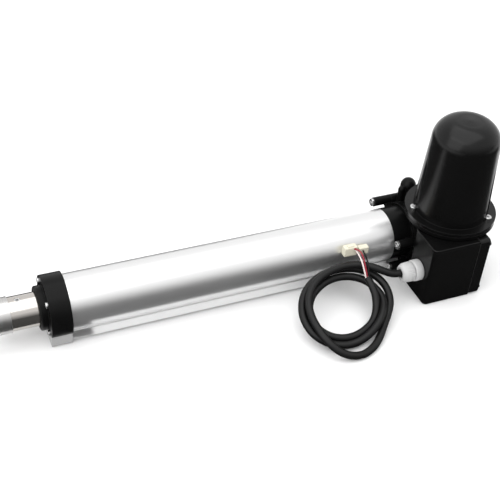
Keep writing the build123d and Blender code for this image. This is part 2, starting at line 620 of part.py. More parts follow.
def make_rear_cover():
    cover = rod_x(BODY_RADIUS, BODY_REAR, COVER_REAR)
    cover = chamfer(cover.edges().sort_by(Axis.X)[-1], 1.5)
    for boss in bosses_at(rear_screw_spots(), BODY_REAR, COVER_REAR - COVER_SCREW_SINK, BODY_REAR):
        cover += boss
    cover -= rod_x(bearing_seat(REAR_BEARING), BODY_REAR - 1, REAR_BEARING_END)
    cover -= rod_x(13.0, BODY_REAR, REAR_BEARING_END + 5.6)
    for y, z in rear_screw_spots():
        cover -= rod_x(FRAME_SCREW_RADIUS + SEAT_GAP, BODY_REAR - 1, COVER_REAR + 1, y, z)
        cover -= rod_x(FRAME_SCREW_HEAD + 0.5, COVER_REAR - COVER_SCREW_SINK, COVER_REAR + OVERCUT, y, z)
    for angle in (0, 90, 180, 270):
        y, z = around_x(angle, MOUNT_HOLE_CIRCLE)
        cover -= rod_x(MOUNT_HOLE_RADIUS, COVER_REAR - MOUNT_HOLE_DEPTH, COVER_REAR + 1, y, z)
    return cover


def make_front_frame_screws():
    length = COLLAR_LENGTH + FRAME_SCREW_GRIP
    screw = Rot(0, -90, 0) * socket_screw(FRAME_SCREW_RADIUS, length, FRAME_SCREW_HEAD, 2.6)
    return [Pos(0, y, z) * screw for y, z in frame_screw_spots()]


def make_rear_frame_screws():
    length = COVER_LENGTH - COVER_SCREW_SINK + FRAME_SCREW_GRIP
    screw = Rot(0, 90, 0) * socket_screw(FRAME_SCREW_RADIUS, length, FRAME_SCREW_HEAD, 2.8)
    return [Pos(COVER_REAR - COVER_SCREW_SINK, y, z) * screw for y, z in rear_screw_spots()]


# Motor ----------------------------------------------------------------------
def dome_screw_spots():
    """X and Y of the screws that hold the dome down."""
    return [around_motor(angle, DOME_SCREW_CIRCLE) for angle in DOME_SCREW_ANGLES]


def tie_bolt_spots():
    """X and Y of the motor's two long bolts."""
    return [around_motor(angle, TIE_BOLT_CIRCLE) for angle in TIE_BOLT_ANGLES]


def make_motor_dome():
    half_round = DOME_ROUND * math.sqrt(0.5)
    near_top = DOME_TOP_RADIUS - DOME_ROUND
    side = Polyline((0, 0, DECK_HEIGHT), (FLANGE_RADIUS, 0, DECK_HEIGHT), (FLANGE_RADIUS, 0, DOME_BASE),
                    (DOME_BASE_RADIUS, 0, DOME_BASE), (DOME_TOP_RADIUS, 0, DOME_WALL_TOP))
    bend = (near_top + half_round, 0, DOME_WALL_TOP + half_round)
    shoulder = ThreePointArc((DOME_TOP_RADIUS, 0, DOME_WALL_TOP), bend, (near_top, 0, DOME_TOP))
    back = Polyline((near_top, 0, DOME_TOP), (0, 0, DOME_TOP + DOME_CROWN), (0, 0, DECK_HEIGHT))
    shell = revolve(make_face(side + shoulder + back), Axis.Z)
    cavity = rod_z(DOME_CAVITY_RADIUS, DECK_HEIGHT - OVERCUT, DOME_CAVITY_TOP)
    cavity = chamfer(cavity.edges().sort_by(Axis.Z)[-1], DOME_ROUND * 0.48)
    shell = Pos(WHEEL_BACK, MOTOR_Y, 0) * (shell - cavity)
    for x, y in dome_screw_spots():
        shell -= rod_z(DOME_POCKET_RADIUS, DOME_BASE, DOME_TOP, x, y)
        shell -= rod_z(DOME_SCREW_RADIUS + SEAT_GAP, DECK_HEIGHT - OVERCUT, DOME_BASE + OVERCUT, x, y)
    return shell


def make_dome_seal():
    ring = Torus(SEAL_RING_CIRCLE, 0.93)
    return Pos(WHEEL_BACK, MOTOR_Y, DECK_HEIGHT - 0.95) * ring


def make_dome_screws():
    screw = socket_screw(DOME_SCREW_RADIUS, 7.5, 4.0, 3.2)
    return [Pos(x, y, DOME_BASE) * screw for x, y in dome_screw_spots()]


def make_motor_can():
    can = motor_bar(CAN_RADIUS, DECK_HEIGHT, CAN_TOP)
    can -= motor_bar(CAN_RADIUS - CAN_WALL, DECK_HEIGHT - 1, CAN_TOP - CAN_WALL)
    can += motor_bar(TOP_BUSH_RADIUS + 2, CAN_TOP - CAN_WALL, CAN_TOP + 7)
    can -= motor_bar(TOP_BUSH_RADIUS + SEAT_GAP, CAN_TOP - CAN_WALL - OVERCUT, CAN_TOP + 5.5)
    for x, y in tie_bolt_spots():
        can -= rod_z(TIE_BOLT_RADIUS + SEAT_GAP, CAN_TOP - 5, CAN_TOP + 5, x, y)
    return can


def make_motor_top_bush():
    start = CAN_TOP - CAN_WALL
    bore = motor_bar(TOP_BUSH_BORE + RUNNING_GAP, start - OVERCUT, CAN_TOP + 6)
    return motor_bar(TOP_BUSH_RADIUS, start, CAN_TOP + 5.4) - bore


def make_motor_end_plate():
    top = DECK_HEIGHT + END_PLATE_THICKNESS
    plate = motor_bar(CAN_RADIUS - CAN_WALL - SEAT_GAP, DECK_HEIGHT, top)
    plate -= motor_bar(SHAFT_RADIUS + 2, DECK_HEIGHT - OVERCUT, top + OVERCUT)
    for x, y in tie_bolt_spots():
        plate -= rod_z(TIE_BOLT_RADIUS + SEAT_GAP, DECK_HEIGHT - OVERCUT, top + OVERCUT, x, y)
    return plate


def make_motor_tie_bolts():
    bolt = socket_screw(TIE_BOLT_RADIUS, CAN_TOP - DECK_HEIGHT + TIE_BOLT_GRIP, 3.2, 3.0)
    return [Pos(x, y, CAN_TOP) * bolt for x, y in tie_bolt_spots()]


def make_motor_magnets():
    outer = CAN_RADIUS - CAN_WALL - SEAT_GAP
    low = ARMATURE_LOW - 2
    high = ARMATURE_HIGH + 2
    ring = motor_bar(outer, low, high) - motor_bar(outer - MAGNET_THICKNESS, low - OVERCUT, high + OVERCUT)
    across = (WHEEL_BACK - outer - OVERCUT, WHEEL_BACK + outer + OVERCUT)
    split = block(across, (MOTOR_Y - MAGNET_SPLIT, MOTOR_Y + MAGNET_SPLIT), (low - OVERCUT, high + OVERCUT))
    return list((ring - split).solids())


def in_each_slot(shape):
    """Copies of a shape at every slot of the rotor."""
    return [Rot(0, 0, index * 360 / ARMATURE_SLOTS) * shape for index in range(ARMATURE_SLOTS)]


def rotor_ring(outer, inner, low, high):
    """Ring round the Z axis, before it is moved to the motor's axis."""
    return rod_z(outer, low, high) - rod_z(inner, low - OVERCUT, high + OVERCUT)


def make_armature():
    core = rotor_ring(ARMATURE_RADIUS, SHAFT_RADIUS + SEAT_GAP, ARMATURE_LOW, ARMATURE_HIGH)
    span = (ARMATURE_LOW - OVERCUT, ARMATURE_HIGH + OVERCUT)
    slot = rod_z(SLOT_RADIUS, *span, ARMATURE_RADIUS - SLOT_DEPTH)
    mouth = block((ARMATURE_RADIUS - SLOT_DEPTH, ARMATURE_RADIUS + OVERCUT), (-1, 1), span)
    for cut in in_each_slot(slot + mouth):
        core -= cut
    return Pos(WHEEL_BACK, MOTOR_Y, 0) * core


def make_windings():
    """Copper in every slot, tied by a ring at each end of the core."""
    inner = SHAFT_RADIUS + 3
    outer = ARMATURE_RADIUS - 2
    coil = rotor_ring(outer, inner, ARMATURE_LOW - WINDING_OVERHANG, ARMATURE_LOW)
    coil += rotor_ring(outer, inner, ARMATURE_HIGH, ARMATURE_HIGH + WINDING_OVERHANG)
    bar = rod_z(SLOT_RADIUS - 0.1, ARMATURE_LOW - 1, ARMATURE_HIGH + 1, ARMATURE_RADIUS - SLOT_DEPTH)
    for copper in in_each_slot(bar):
        coil += copper
    return Pos(WHEEL_BACK, MOTOR_Y, 0) * coil


def make_commutator():
    drum = rotor_ring(COMMUTATOR_RADIUS, SHAFT_RADIUS + SEAT_GAP, COMMUTATOR_LOW, COMMUTATOR_HIGH)
    span = (COMMUTATOR_LOW - OVERCUT, COMMUTATOR_HIGH + OVERCUT)
    cut = block((COMMUTATOR_RADIUS - 0.8, COMMUTATOR_RADIUS + OVERCUT), (-0.25, 0.25), span)
    for groove in in_each_slot(cut):
        drum -= groove
    return Pos(WHEEL_BACK, MOTOR_Y, 0) * drum


def brush_blank(gap):
    """The two brushes, or the slots for them when a gap is given."""
    half = BRUSH_WIDTH / 2 + gap
    middle = (COMMUTATOR_LOW + COMMUTATOR_HIGH) / 2
    reach = (COMMUTATOR_RADIUS + 0.15, BRUSH_REACH + gap)
    blank = block(reach, (-half, half), (middle - half, middle + half))
    return [blank, Rot(0, 0, 180) * blank]


def make_brush_holder():
    outer = CAN_RADIUS - CAN_WALL - SEAT_GAP
    ring = rotor_ring(outer, COMMUTATOR_RADIUS + 3, COMMUTATOR_LOW, COMMUTATOR_HIGH)
    for blank in brush_blank(0.1):
        ring -= blank
    ring = Pos(WHEEL_BACK, MOTOR_Y, 0) * ring
    for x, y in tie_bolt_spots():
        hole = rod_z(TIE_BOLT_RADIUS + SEAT_GAP, COMMUTATOR_LOW - OVERCUT, COMMUTATOR_HIGH + OVERCUT, x, y)
        ring -= hole
    return ring


def make_brushes():
    return [Pos(WHEEL_BACK, MOTOR_Y, 0) * blank for blank in brush_blank(0.0)]


def make_rotor_shaft():
    low_end = LOWER_BEARING_Z + WORM_BEARING[2]
    shaft = motor_bar(journal(WORM_BEARING), LOWER_BEARING_Z, CAN_TOP + 5)
    shaft += motor_bar(SHAFT_RADIUS, low_end + 0.1, UPPER_BEARING_Z - 0.1)
    shaft += motor_bar(SHAFT_RADIUS, DECK_HEIGHT + 0.4, CAN_TOP - CAN_WALL - 0.3)
    return shaft


def make_worm():
    half = WORM_LENGTH / 2
    return motor_bar(WORM_RADIUS, -half, half) - motor_bar(SHAFT_RADIUS + SEAT_GAP, -half - 1, half + 1)


def make_worm_bearings():
    places = [Pos(WHEEL_BACK, MOTOR_Y, z) for z in (LOWER_BEARING_Z, UPPER_BEARING_Z)]
    return [place * piece for place in places for piece in ball_bearing(WORM_BEARING, 7)]


# Junction box ---------------------------------------------------------------
def box_mount_spots():
    """X and Z of the screws that hold the box to the gearbox."""
    return [(x, z) for x in (COLLAR_LENGTH + 9, COLLAR_LENGTH + 23) for z in (-26.0, 27.0)]


def box_blank(start, end, inset, top):
    """Rounded block of the box's outline, drawn in by an inset."""
    y_mid = (BOX_NEAR + BOX_FAR) / 2
    width = BOX_DEPTH - 2 * inset
    low = FLOOR + inset
    outline = RectangleRounded(width, top - low, max(BOX_ROUND - inset, 1.0))
    return extrude(facing_x(start) * Pos(y_mid, (low + top) / 2) * outline, end - start)


def box_inside(inset, end, z_span):
    """Block inside the box's walls at an inset, up to an end along the tube."""
    return block((BOX_FRONT + inset, end), (BOX_NEAR + inset, BOX_FAR - inset), z_span)


def cover_screw_spots():
    """Y and Z of the screws in the box's end cover."""
    inset = BOX_SCREW_INSET
    return [(y, z) for y in (BOX_NEAR + inset, BOX_FAR - inset) for z in (FLOOR + inset, LID_SEAT - inset)]


def make_box_body():
    outside = box_inside(0, COVER_SEAM, (FLOOR, LID_SEAT))
    body = fillet(outside.edges().filter_by(Axis.Z).group_by(Axis.X)[0], BOX_ROUND)
    body = fillet(body.edges().filter_by(Axis.X).group_by(Axis.Z)[0], 2.0)
    body -= box_inside(BOX_WALL, COVER_SEAM + OVERCUT, (FLOOR + BOX_WALL, LID_SEAT + OVERCUT))
    for y, z in cover_screw_spots():
        body += rod_x(BOX_POST_RADIUS, COVER_SEAM - BOX_POST_LENGTH, COVER_SEAM, y, z) & outside
        body -= rod_x(BOX_SCREW_RADIUS + SEAT_GAP, COVER_SEAM - 10, COVER_SEAM + OVERCUT, y, z)
    for x, z in board_post_spots():
        body += rod_y(2.5, BOARD_Y, BOX_FAR - BOX_WALL, x, z)
    wall_end = BOX_FRONT + BOX_WALL + OVERCUT
    body -= rod_x(GLAND_THREAD_RADIUS + SEAT_GAP, BOX_FRONT - OVERCUT, wall_end, GLAND_Y, 0)
    for x, z in box_mount_spots():
        hole = rod_y(BOX_SCREW_RADIUS + SEAT_GAP, BOX_FAR - BOX_WALL - OVERCUT, BOX_FAR + OVERCUT, x, z)
        body -= hole
    return body


def lid_plate(inset, low, high):
    """The lid's outline, drawn in by an inset, between two heights."""
    plate = box_inside(inset, COVER_SEAM - inset, (low, high))
    return fillet(plate.edges().filter_by(Axis.Z).group_by(Axis.X)[0], BOX_ROUND - inset)


def make_box_lid():
    top = BOX_TOP + LID_BEAD_HEIGHT
    lid = lid_plate(0, LID_SEAT, top)
    lid = chamfer(lid.faces().sort_by(Axis.Z)[-1].edges(), 0.5)
    lid -= lid_plate(LID_BEAD_WIDTH, BOX_TOP, top + OVERCUT)
    inset = BOX_WALL + 0.2
    end = COVER_SEAM - BOX_POST_LENGTH - OVERCUT
    lip = box_inside(inset, end, (LID_SEAT - 2.5, LID_SEAT))
    lip -= box_inside(inset + LID_LIP, end - LID_LIP, (LID_SEAT - 3, LID_SEAT))
    return lid + lip


def make_box_gasket():
    inset = 0.4
    ring = box_blank(COVER_SEAM, COVER_SEAM + BOX_GASKET, inset, BOX_TOP - inset)
    ring -= box_blank(COVER_SEAM - 1, COVER_SEAM + BOX_GASKET + 1, 2.4, LID_SEAT - 0.2)
    for y, z in cover_screw_spots():
        ring -= rod_x(BOX_SCREW_RADIUS + SEAT_GAP, COVER_SEAM - 1, COVER_SEAM + 3, y, z)
    return ring


def make_box_cover():
    start = COVER_SEAM + BOX_GASKET
    cover = box_blank(start, BOX_REAR, 0.0, BOX_TOP)
    cover = fillet(cover.faces().sort_by(Axis.X)[-1].edges(), 2.5)
    side = BOX_SCREW_INSET + BOX_POST_RADIUS + 0.8
    hollow = (start - OVERCUT, BOX_REAR - BOX_WALL)
    cover -= block(hollow, (BOX_NEAR + side, BOX_FAR - side), (FLOOR + BOX_WALL, LID_SEAT))
    for y, z in cover_screw_spots():
        cover -= rod_x(BOX_SCREW_RADIUS + SEAT_GAP, start - 1, BOX_REAR + 1, y, z)
    return cover


def make_cover_screws():
    length = BOX_COVER - BOX_GASKET + 9
    screw = Rot(0, 90, 0) * socket_screw(BOX_SCREW_RADIUS, length, 3.3, 2.6)
    return [Pos(BOX_REAR, y, z) * screw for y, z in cover_screw_spots()]


def make_box_mount_screws():
    screw = Rot(90, 0, 0) * socket_screw(BOX_SCREW_RADIUS, BOX_WALL + 7, 3.2, 2.2)
    return [Pos(x, BOX_FAR - BOX_WALL, z) * screw for x, z in box_mount_spots()]


def board_span():
    """Start and end of the circuit board along the tube."""
    return BOX_FRONT + BOX_WALL + 8, COVER_SEAM - 15


def board_post_spots():
    start, end = board_span()
    return [(x, z) for x in (start + 4, end - 4) for z in (-14.0, 16.0)]


def make_circuit_board():
    return block(board_span(), (BOARD_Y - BOARD_THICKNESS, BOARD_Y), (-19.0, 20.0))


def make_relays():
    near = BOARD_Y - BOARD_THICKNESS
    middle = sum(board_span()) / 2
    relays = []
    for shift in (-9.0, 9.0):
        body = block((middle + shift - 7, middle + shift + 7), (near - 12, near), (-17.0, -7.0))
        relays.append(chamfer(body.edges().filter_by(Axis.Y), 0.8))
    return relays


def make_terminal_block():
    start, end = board_span()
    near = BOARD_Y - BOARD_THICKNESS
    body = block((start + 3, end - 3), (near - 9, near), (6.0, 16.0))
    pitch = (end - start - 6) / 4
    for index in range(4):
        body -= rod_z(1.6, 9.0, 17.0, start + 3 + pitch * (index + 0.5), near - 4.5)
    return body


def make_board_parts():
    """Two relays and the terminal block."""
    return make_relays() + [make_terminal_block()]


# Cable gland and cable --------------------------------------------------------
def hexagon(across, start, length):
    """Hexagon bar parallel to X, by its width across the flats."""
    return extrude(facing_x(start) * RegularPolygon(across / 2, 6, major_radius=False), length)


def make_gland_body():
    face = BOX_FRONT - GLAND_HEX_LENGTH
    gland = hexagon(GLAND_HEX, face, GLAND_HEX_LENGTH)
    gland += rod_x(GLAND_THREAD_RADIUS, BOX_FRONT, BOX_FRONT + BOX_WALL + 8)
    gland += rod_x(GLAND_THREAD_RADIUS, BOX_FRONT - 12, face)
    gland -= rod_x(CABLE_RADIUS + 0.6, BOX_FRONT - 13, BOX_FRONT + 20)
    return Pos(0, GLAND_Y, 0) * gland


def make_gland_nut():
    end = BOX_FRONT - GLAND_HEX_LENGTH - 0.1
    step = end - GLAND_GRIP_LENGTH
    grip = hexagon(GLAND_HEX - 1, step, GLAND_GRIP_LENGTH)
    nose = rod_x(GLAND_NUT_RADIUS, step - GLAND_NOSE_LENGTH, step)
    nose = fillet(nose.edges().sort_by(Axis.X)[0], 4.5)
    nut = grip + nose - rod_x(GLAND_THREAD_RADIUS + SEAT_GAP, end - 12, end + OVERCUT)
    nut -= rod_x(CABLE_RADIUS + 0.4, end - 20, end)
    return Pos(0, GLAND_Y, 0) * nut


def make_gland_seal():
    end = BOX_FRONT - GLAND_SEAL_FRONT
    start = end - 5.3
    ring = rod_x(7.6, start, end) - rod_x(CABLE_RADIUS + RUNNING_GAP, start - OVERCUT, end + OVERCUT)
    return Pos(0, GLAND_Y, 0) * ring


def make_gland_locknut():
    start = BOX_FRONT + BOX_WALL
    nut = hexagon(GLAND_HEX, start, GLAND_LOCKNUT_LENGTH)
    bore = rod_x(GLAND_THREAD_RADIUS + SEAT_GAP, start - OVERCUT, start + GLAND_LOCKNUT_LENGTH + OVERCUT)
    return Pos(0, GLAND_Y, 0) * (nut - bore)


def round_tube(points, radius):
    """Tube along straight runs joined by arcs as large as the runs allow."""
    corners = [Vector(*point) for point in points]
    radii = []
    for before, here, after in zip(corners, corners[1:], corners[2:]):
        turn = math.radians((here - before).get_angle(after - here))
        shorter = min((here - before).length, (after - here).length)
        radii.append(0.45 * shorter / math.tan(turn / 2))
    path = FilletPolyline(*points, radius=radii) if radii else Polyline(*points)
    start = Plane(origin=corners[0], z_dir=corners[1] - corners[0])
    tube = sweep(start * Circle(radius), path=path)
    expected = math.pi * radius ** 2 * path.length
    print("tube", "length %.1f" % path.length, "radii", [round(r, 1) for r in radii],
          "volume ratio %.4f" % (tube.volume / expected))
    return tube


def make_cable_lead():
    points = [(BOX_FRONT - GLAND_SEAL_FRONT, GLAND_Y, 0), (-18, GLAND_Y, 0), (-28.5, -63.6, 3),
              (-38.5, -56.8, 6.2), (-49, -49.4, 7.2), (-61, -45.6, 7)]
    return round_tube(points, CABLE_RADIUS)


def make_cable_coil():
    outline = RectangleRounded(COIL_OUTER - COIL_INNER, COIL_HEIGHT, 4.5)
    ring = revolve(Plane.XZ * Pos((COIL_OUTER + COIL_INNER) / 2, 0) * outline, Axis.Z)
    ring = Pos(*COIL_CENTRE) * Rot(COIL_TILT, 0, 0) * ring
    return ring & block((-200, 0), (-200, 0), (FLOOR + COIL_LIFT, 100))


def make_wire(shift, points):
    x, y, z = WIRE_START
    return round_tube([(x + shift, y, z)] + points, WIRE_RADIUS)


def make_connector_large():
    body = block((-67, -52), (-36.4, -28.6), (11.5, 23.0))
    body = chamfer(body.edges(), 0.5)
    latch = block((-63, -56), (-34.7, -30.7), (23.0, 24.2))
    return body + latch


def make_connector_small():
    body = block((-49, -37), (-35.6, -28.8), (9.5, 18.5))
    return chamfer(body.edges(), 0.5)


# Nodes ------------------------------------------------------------------------
HOUSING_NODES = {
    "outer_tube": make_outer_tube, "front_cap": make_front_cap, "guide_bush": make_guide_bush,
    "wiper_seal": make_wiper_seal, "cap_screws": make_cap_screws, "tube_collar": make_tube_collar,
    "front_bearing": make_front_bearing, "bearing_retainer": make_bearing_retainer,
    "gear_housing": make_gear_housing, "rear_bearing": make_rear_bearing, "rear_cover": make_rear_cover,
    "front_frame_screws": make_front_frame_screws, "rear_frame_screws": make_rear_frame_screws,
    "worm_bearings": make_worm_bearings,
    "motor_dome": make_motor_dome, "dome_seal": make_dome_seal, "dome_screws": make_dome_screws,
    "motor_can": make_motor_can, "motor_top_bush": make_motor_top_bush,
    "motor_end_plate": make_motor_end_plate, "motor_tie_bolts": make_motor_tie_bolts,
    "motor_magnets": make_motor_magnets, "brush_holder": make_brush_holder, "motor_brushes": make_brushes,
    "box_body": make_box_body, "box_lid": make_box_lid, "box_gasket": make_box_gasket,
    "box_cover": make_box_cover, "cover_screws": make_cover_screws, "box_mount_screws": make_box_mount_screws,
    "circuit_board": make_circuit_board, "board_parts": make_board_parts,
    "gland_body": make_gland_body, "gland_nut": make_gland_nut, "gland_seal": make_gland_seal,
    "gland_locknut": make_gland_locknut,
}
ROD_NODES = {
    "rod_tube": make_rod_tube, "rod_end": make_rod_end, "rod_lock_screw": make_rod_lock_screw,
    "drive_nut": make_drive_nut, "nut_pins": make_nut_pins, "nut_guide_ring": make_nut_guide_ring,
}
SCREW_NODES = {
    "lead_screw": make_lead_screw, "screw_spacer": make_screw_spacer, "worm_wheel": make_worm_wheel,
    "wheel_key": make_wheel_key, "screw_tip_bush": make_screw_tip_bush, "screw_lock_nut": make_screw_lock_nut,
}
ROTOR_NODES = {
    "rotor_shaft": make_rotor_shaft, "worm": make_worm, "armature": make_armature,
    "windings": make_windings, "commutator": make_commutator,
}
CORD_NODES = {
    "cable_lead": make_cable_lead, "cable_coil": make_cable_coil,
    "wire_white": lambda: make_wire(-1.9, [(-52.5, -57, 8), (-53.0, -46, 17.5), (-54.5, -35.2, 20)]),
    "wire_red": lambda: make_wire(0.0, [(-50.3, -56, 9), (-51.0, -47, 20), (-53.0, -40, 22.5),
                                        (-57, -34.5, 20.5)]),
    "wire_black": lambda: make_wire(1.9, [(-47.5, -57.5, 8.5), (-46, -49, 15.5), (-44, -34.3, 15)]),
    "connector_large": make_connector_large, "connector_small": make_connector_small,
}


def build(recipes):
    """Each recipe's solids, as one shape per node."""
    shapes = {}
    for name, recipe in recipes.items():
        made = recipe()
        pieces = made if isinstance(made, list) else [made]
        solids = [solid for piece in pieces for solid in piece.solids()]
        shapes[name] = solids[0] if len(solids) == 1 else Compound(children=solids)
    return shapes


def main():
    nodes = build({**HOUSING_NODES, **ROD_NODES, **SCREW_NODES, **ROTOR_NODES})
    cords = build(CORD_NODES)
    box = Compound(children=[shape.moved(Location()) for shape in nodes.values()]).bounding_box()
    shift = Vector(-(box.min.X + box.max.X) / 2, -(box.min.Y + box.max.Y) / 2, -FLOOR)
    print("shift", shift, "box", box.min, box.max)
    os.makedirs("parts", exist_ok=True)
    for name, shape in {**nodes, **cords}.items():
        export_step(shape.moved(Location(shift)), "parts/" + name + ".step")


main()
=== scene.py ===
# %% [markdown]
# # Linear actuator: the looks
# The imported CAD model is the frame: its bodies and nodes are already in place, in metres.
# This lesson gives every node its finish, turns the cable gland's two nylon parts, lays
# the cable in its loose coil, and sets the camera and the soft studio light.

# %% Load the frame
import json

import bpy
import numpy as np
from mathutils import Matrix, Vector


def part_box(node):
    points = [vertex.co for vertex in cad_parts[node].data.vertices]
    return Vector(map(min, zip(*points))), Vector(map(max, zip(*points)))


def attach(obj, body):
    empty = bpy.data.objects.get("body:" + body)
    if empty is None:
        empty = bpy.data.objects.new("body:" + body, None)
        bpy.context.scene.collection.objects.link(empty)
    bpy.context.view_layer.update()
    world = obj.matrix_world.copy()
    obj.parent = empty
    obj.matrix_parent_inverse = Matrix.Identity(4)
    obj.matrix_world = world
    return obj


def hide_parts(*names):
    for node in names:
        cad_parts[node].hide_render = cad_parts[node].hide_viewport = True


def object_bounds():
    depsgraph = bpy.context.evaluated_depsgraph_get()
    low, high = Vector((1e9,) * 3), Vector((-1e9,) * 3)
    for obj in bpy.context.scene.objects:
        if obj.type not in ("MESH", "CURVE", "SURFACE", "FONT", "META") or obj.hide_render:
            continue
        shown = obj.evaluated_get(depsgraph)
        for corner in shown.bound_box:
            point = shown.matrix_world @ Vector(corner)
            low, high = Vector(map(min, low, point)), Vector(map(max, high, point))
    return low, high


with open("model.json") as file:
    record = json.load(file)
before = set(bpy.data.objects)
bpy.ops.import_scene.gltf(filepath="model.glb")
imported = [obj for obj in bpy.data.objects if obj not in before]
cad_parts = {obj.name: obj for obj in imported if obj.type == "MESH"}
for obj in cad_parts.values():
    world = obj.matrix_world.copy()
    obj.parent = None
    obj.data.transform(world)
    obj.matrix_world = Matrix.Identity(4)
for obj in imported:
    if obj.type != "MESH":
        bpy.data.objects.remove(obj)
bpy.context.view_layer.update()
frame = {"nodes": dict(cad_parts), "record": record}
nodes = frame["nodes"]
MM = 0.001

# %% [markdown]
# ## Places
# Sizes below are in the part's own millimetres: the origin is the centre of the tube's
# gearbox end, +X runs to the gearbox, -Y is the junction box side and +Z is up. The frame
# stands somewhere else, so one helper turns the part's millimetres into the frame's metres,
# measured from the tube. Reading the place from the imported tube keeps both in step.

# %% From the part's millimetres to the frame's metres
TUBE_RADIUS = 30.0
tube_low, tube_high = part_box("outer_tube")
ORIGIN = Vector((tube_high[0], (tube_low[1] + tube_high[1]) / 2,
                 tube_high[2] - TUBE_RADIUS * MM))


def at(x, y, z):
    """A point of the frame, in metres, from the part's own millimetres."""
    return ORIGIN + Vector((x, y, z)) * MM


print("part origin in the frame", tuple(round(value, 4) for value in ORIGIN))

# %% [markdown]
# ## Camera
# The camera stands in front of the rod end, above the object, and looks along the tube.
# A camera could be aimed with a Track To constraint, but a fixed matrix says the same
# thing with three directions: sideways, up and back.

# %% Camera
CAMERA_PLACE = (-515.7, -755.8, 712.4)
CAMERA_FORWARD = Vector((0.3237, 0.6969, -0.6400))
CAMERA_UP = Vector((0.1956, 0.6125, 0.7659))
CAMERA_LENS = 71.9                  # mm, on a sensor of the width below
CAMERA_SENSOR = 36.0
CAMERA_SEES = (0.05, 20.0)          # nearest and farthest, in metres


def make_camera():
    """A camera whose matrix has the three directions as its columns."""
    data = bpy.data.cameras.new("camera")
    data.lens = CAMERA_LENS
    data.sensor_width = CAMERA_SENSOR
    data.clip_start, data.clip_end = CAMERA_SEES
    camera = bpy.data.objects.new("camera", data)
    forward = CAMERA_FORWARD.normalized()
    side = forward.cross(CAMERA_UP).normalized()
    up = side.cross(forward)
    turn = Matrix((side, up, -forward)).transposed().to_4x4()
    camera.matrix_world = Matrix.Translation(at(*CAMERA_PLACE)) @ turn
    bpy.context.scene.collection.objects.link(camera)
    bpy.context.scene.camera = camera
    print("camera at", tuple(round(value, 3) for value in camera.matrix_world.translation))


make_camera()

# %% [markdown]
# ## Patches and grain
# No real surface is one even colour. Brushed aluminium has fine lines along its length, a
# casting has a pebbled skin, and every part has broad, faint patches from handling. All
# of them need the same two noises, a broad one and a fine one, so they are made once as a
# node group, and each material gives it its own sizes. The fine noise can be drawn out
# along one axis, which makes brushing lines. Object coordinates keep it fixed to the part.

# %% Node group: patches and grain
BROAD_SHARE, FINE_SHARE = 0.6, 0.4
BROAD_DETAIL, FINE_DETAIL = 4.0, 2.0


def make_patches_and_grain():
    """Broad = noise at the patch size. Fine = noise at the grain size, drawn out along an
    axis where Stretch is small. Blend = broad * its share + fine * its share."""
    group = bpy.data.node_groups.new("patches_and_grain", "ShaderNodeTree")
    for name, socket in (("Patch Scale", "NodeSocketFloat"), ("Grain Scale", "NodeSocketFloat"),
                         ("Stretch", "NodeSocketVector")):
        group.interface.new_socket(name, in_out="INPUT", socket_type=socket)
    for name in ("Blend", "Grain"):
        group.interface.new_socket(name, in_out="OUTPUT", socket_type="NodeSocketFloat")
    new, link = group.nodes.new, group.links.new
    inside, outside = new("NodeGroupInput"), new("NodeGroupOutput")
    place = new("ShaderNodeTexCoord")

    def noise(vector, scale, detail):
        texture = new("ShaderNodeTexNoise")
        texture.inputs["Detail"].default_value = detail
        link(vector, texture.inputs["Vector"])
        link(scale, texture.inputs["Scale"])
        return texture.outputs["Fac"]

    drawn = new("ShaderNodeVectorMath")
    drawn.operation = "MULTIPLY"
    link(place.outputs["Object"], drawn.inputs[0])
    link(inside.outputs["Stretch"], drawn.inputs[1])
    broad = noise(place.outputs["Object"], inside.outputs["Patch Scale"], BROAD_DETAIL)
    fine = noise(drawn.outputs["Vector"], inside.outputs["Grain Scale"], FINE_DETAIL)
    fine_part, blend = new("ShaderNodeMath"), new("ShaderNodeMath")
    fine_part.operation, blend.operation = "MULTIPLY", "MULTIPLY_ADD"
    fine_part.inputs[1].default_value = FINE_SHARE
    blend.inputs[1].default_value = BROAD_SHARE
    link(fine, fine_part.inputs[0])
    link(broad, blend.inputs[0])
    link(fine_part.outputs[0], blend.inputs[2])
    link(blend.outputs[0], outside.inputs["Blend"])
    link(fine, outside.inputs["Grain"])
    return group


PATCHES_AND_GRAIN = make_patches_and_grain()
print("patches and grain, nodes", len(PATCHES_AND_GRAIN.nodes))

# %% [markdown]
# ## Edge wear and painted highlight
# Paint and anodising thin out on a corner, so an edge looks a little paler than the face
# beside it. A corner also catches the light, and the paler colour stands in for that too, so
# it is partly wear and partly a painted highlight. It could be painted by hand on every part.
# Instead a second group compares the surface's direction with a rounded one: they differ only
# near an edge, and noise breaks the line up so that it isn't even.

# %% Node group: edge wear and painted highlight
PALE_EDGE_WIDTH = 0.7                    # mm
PALE_EDGE_STARTS, PALE_EDGE_FULL = 0.98, 0.75     # the dot product of the two directions
ROUNDING_SAMPLES = 4


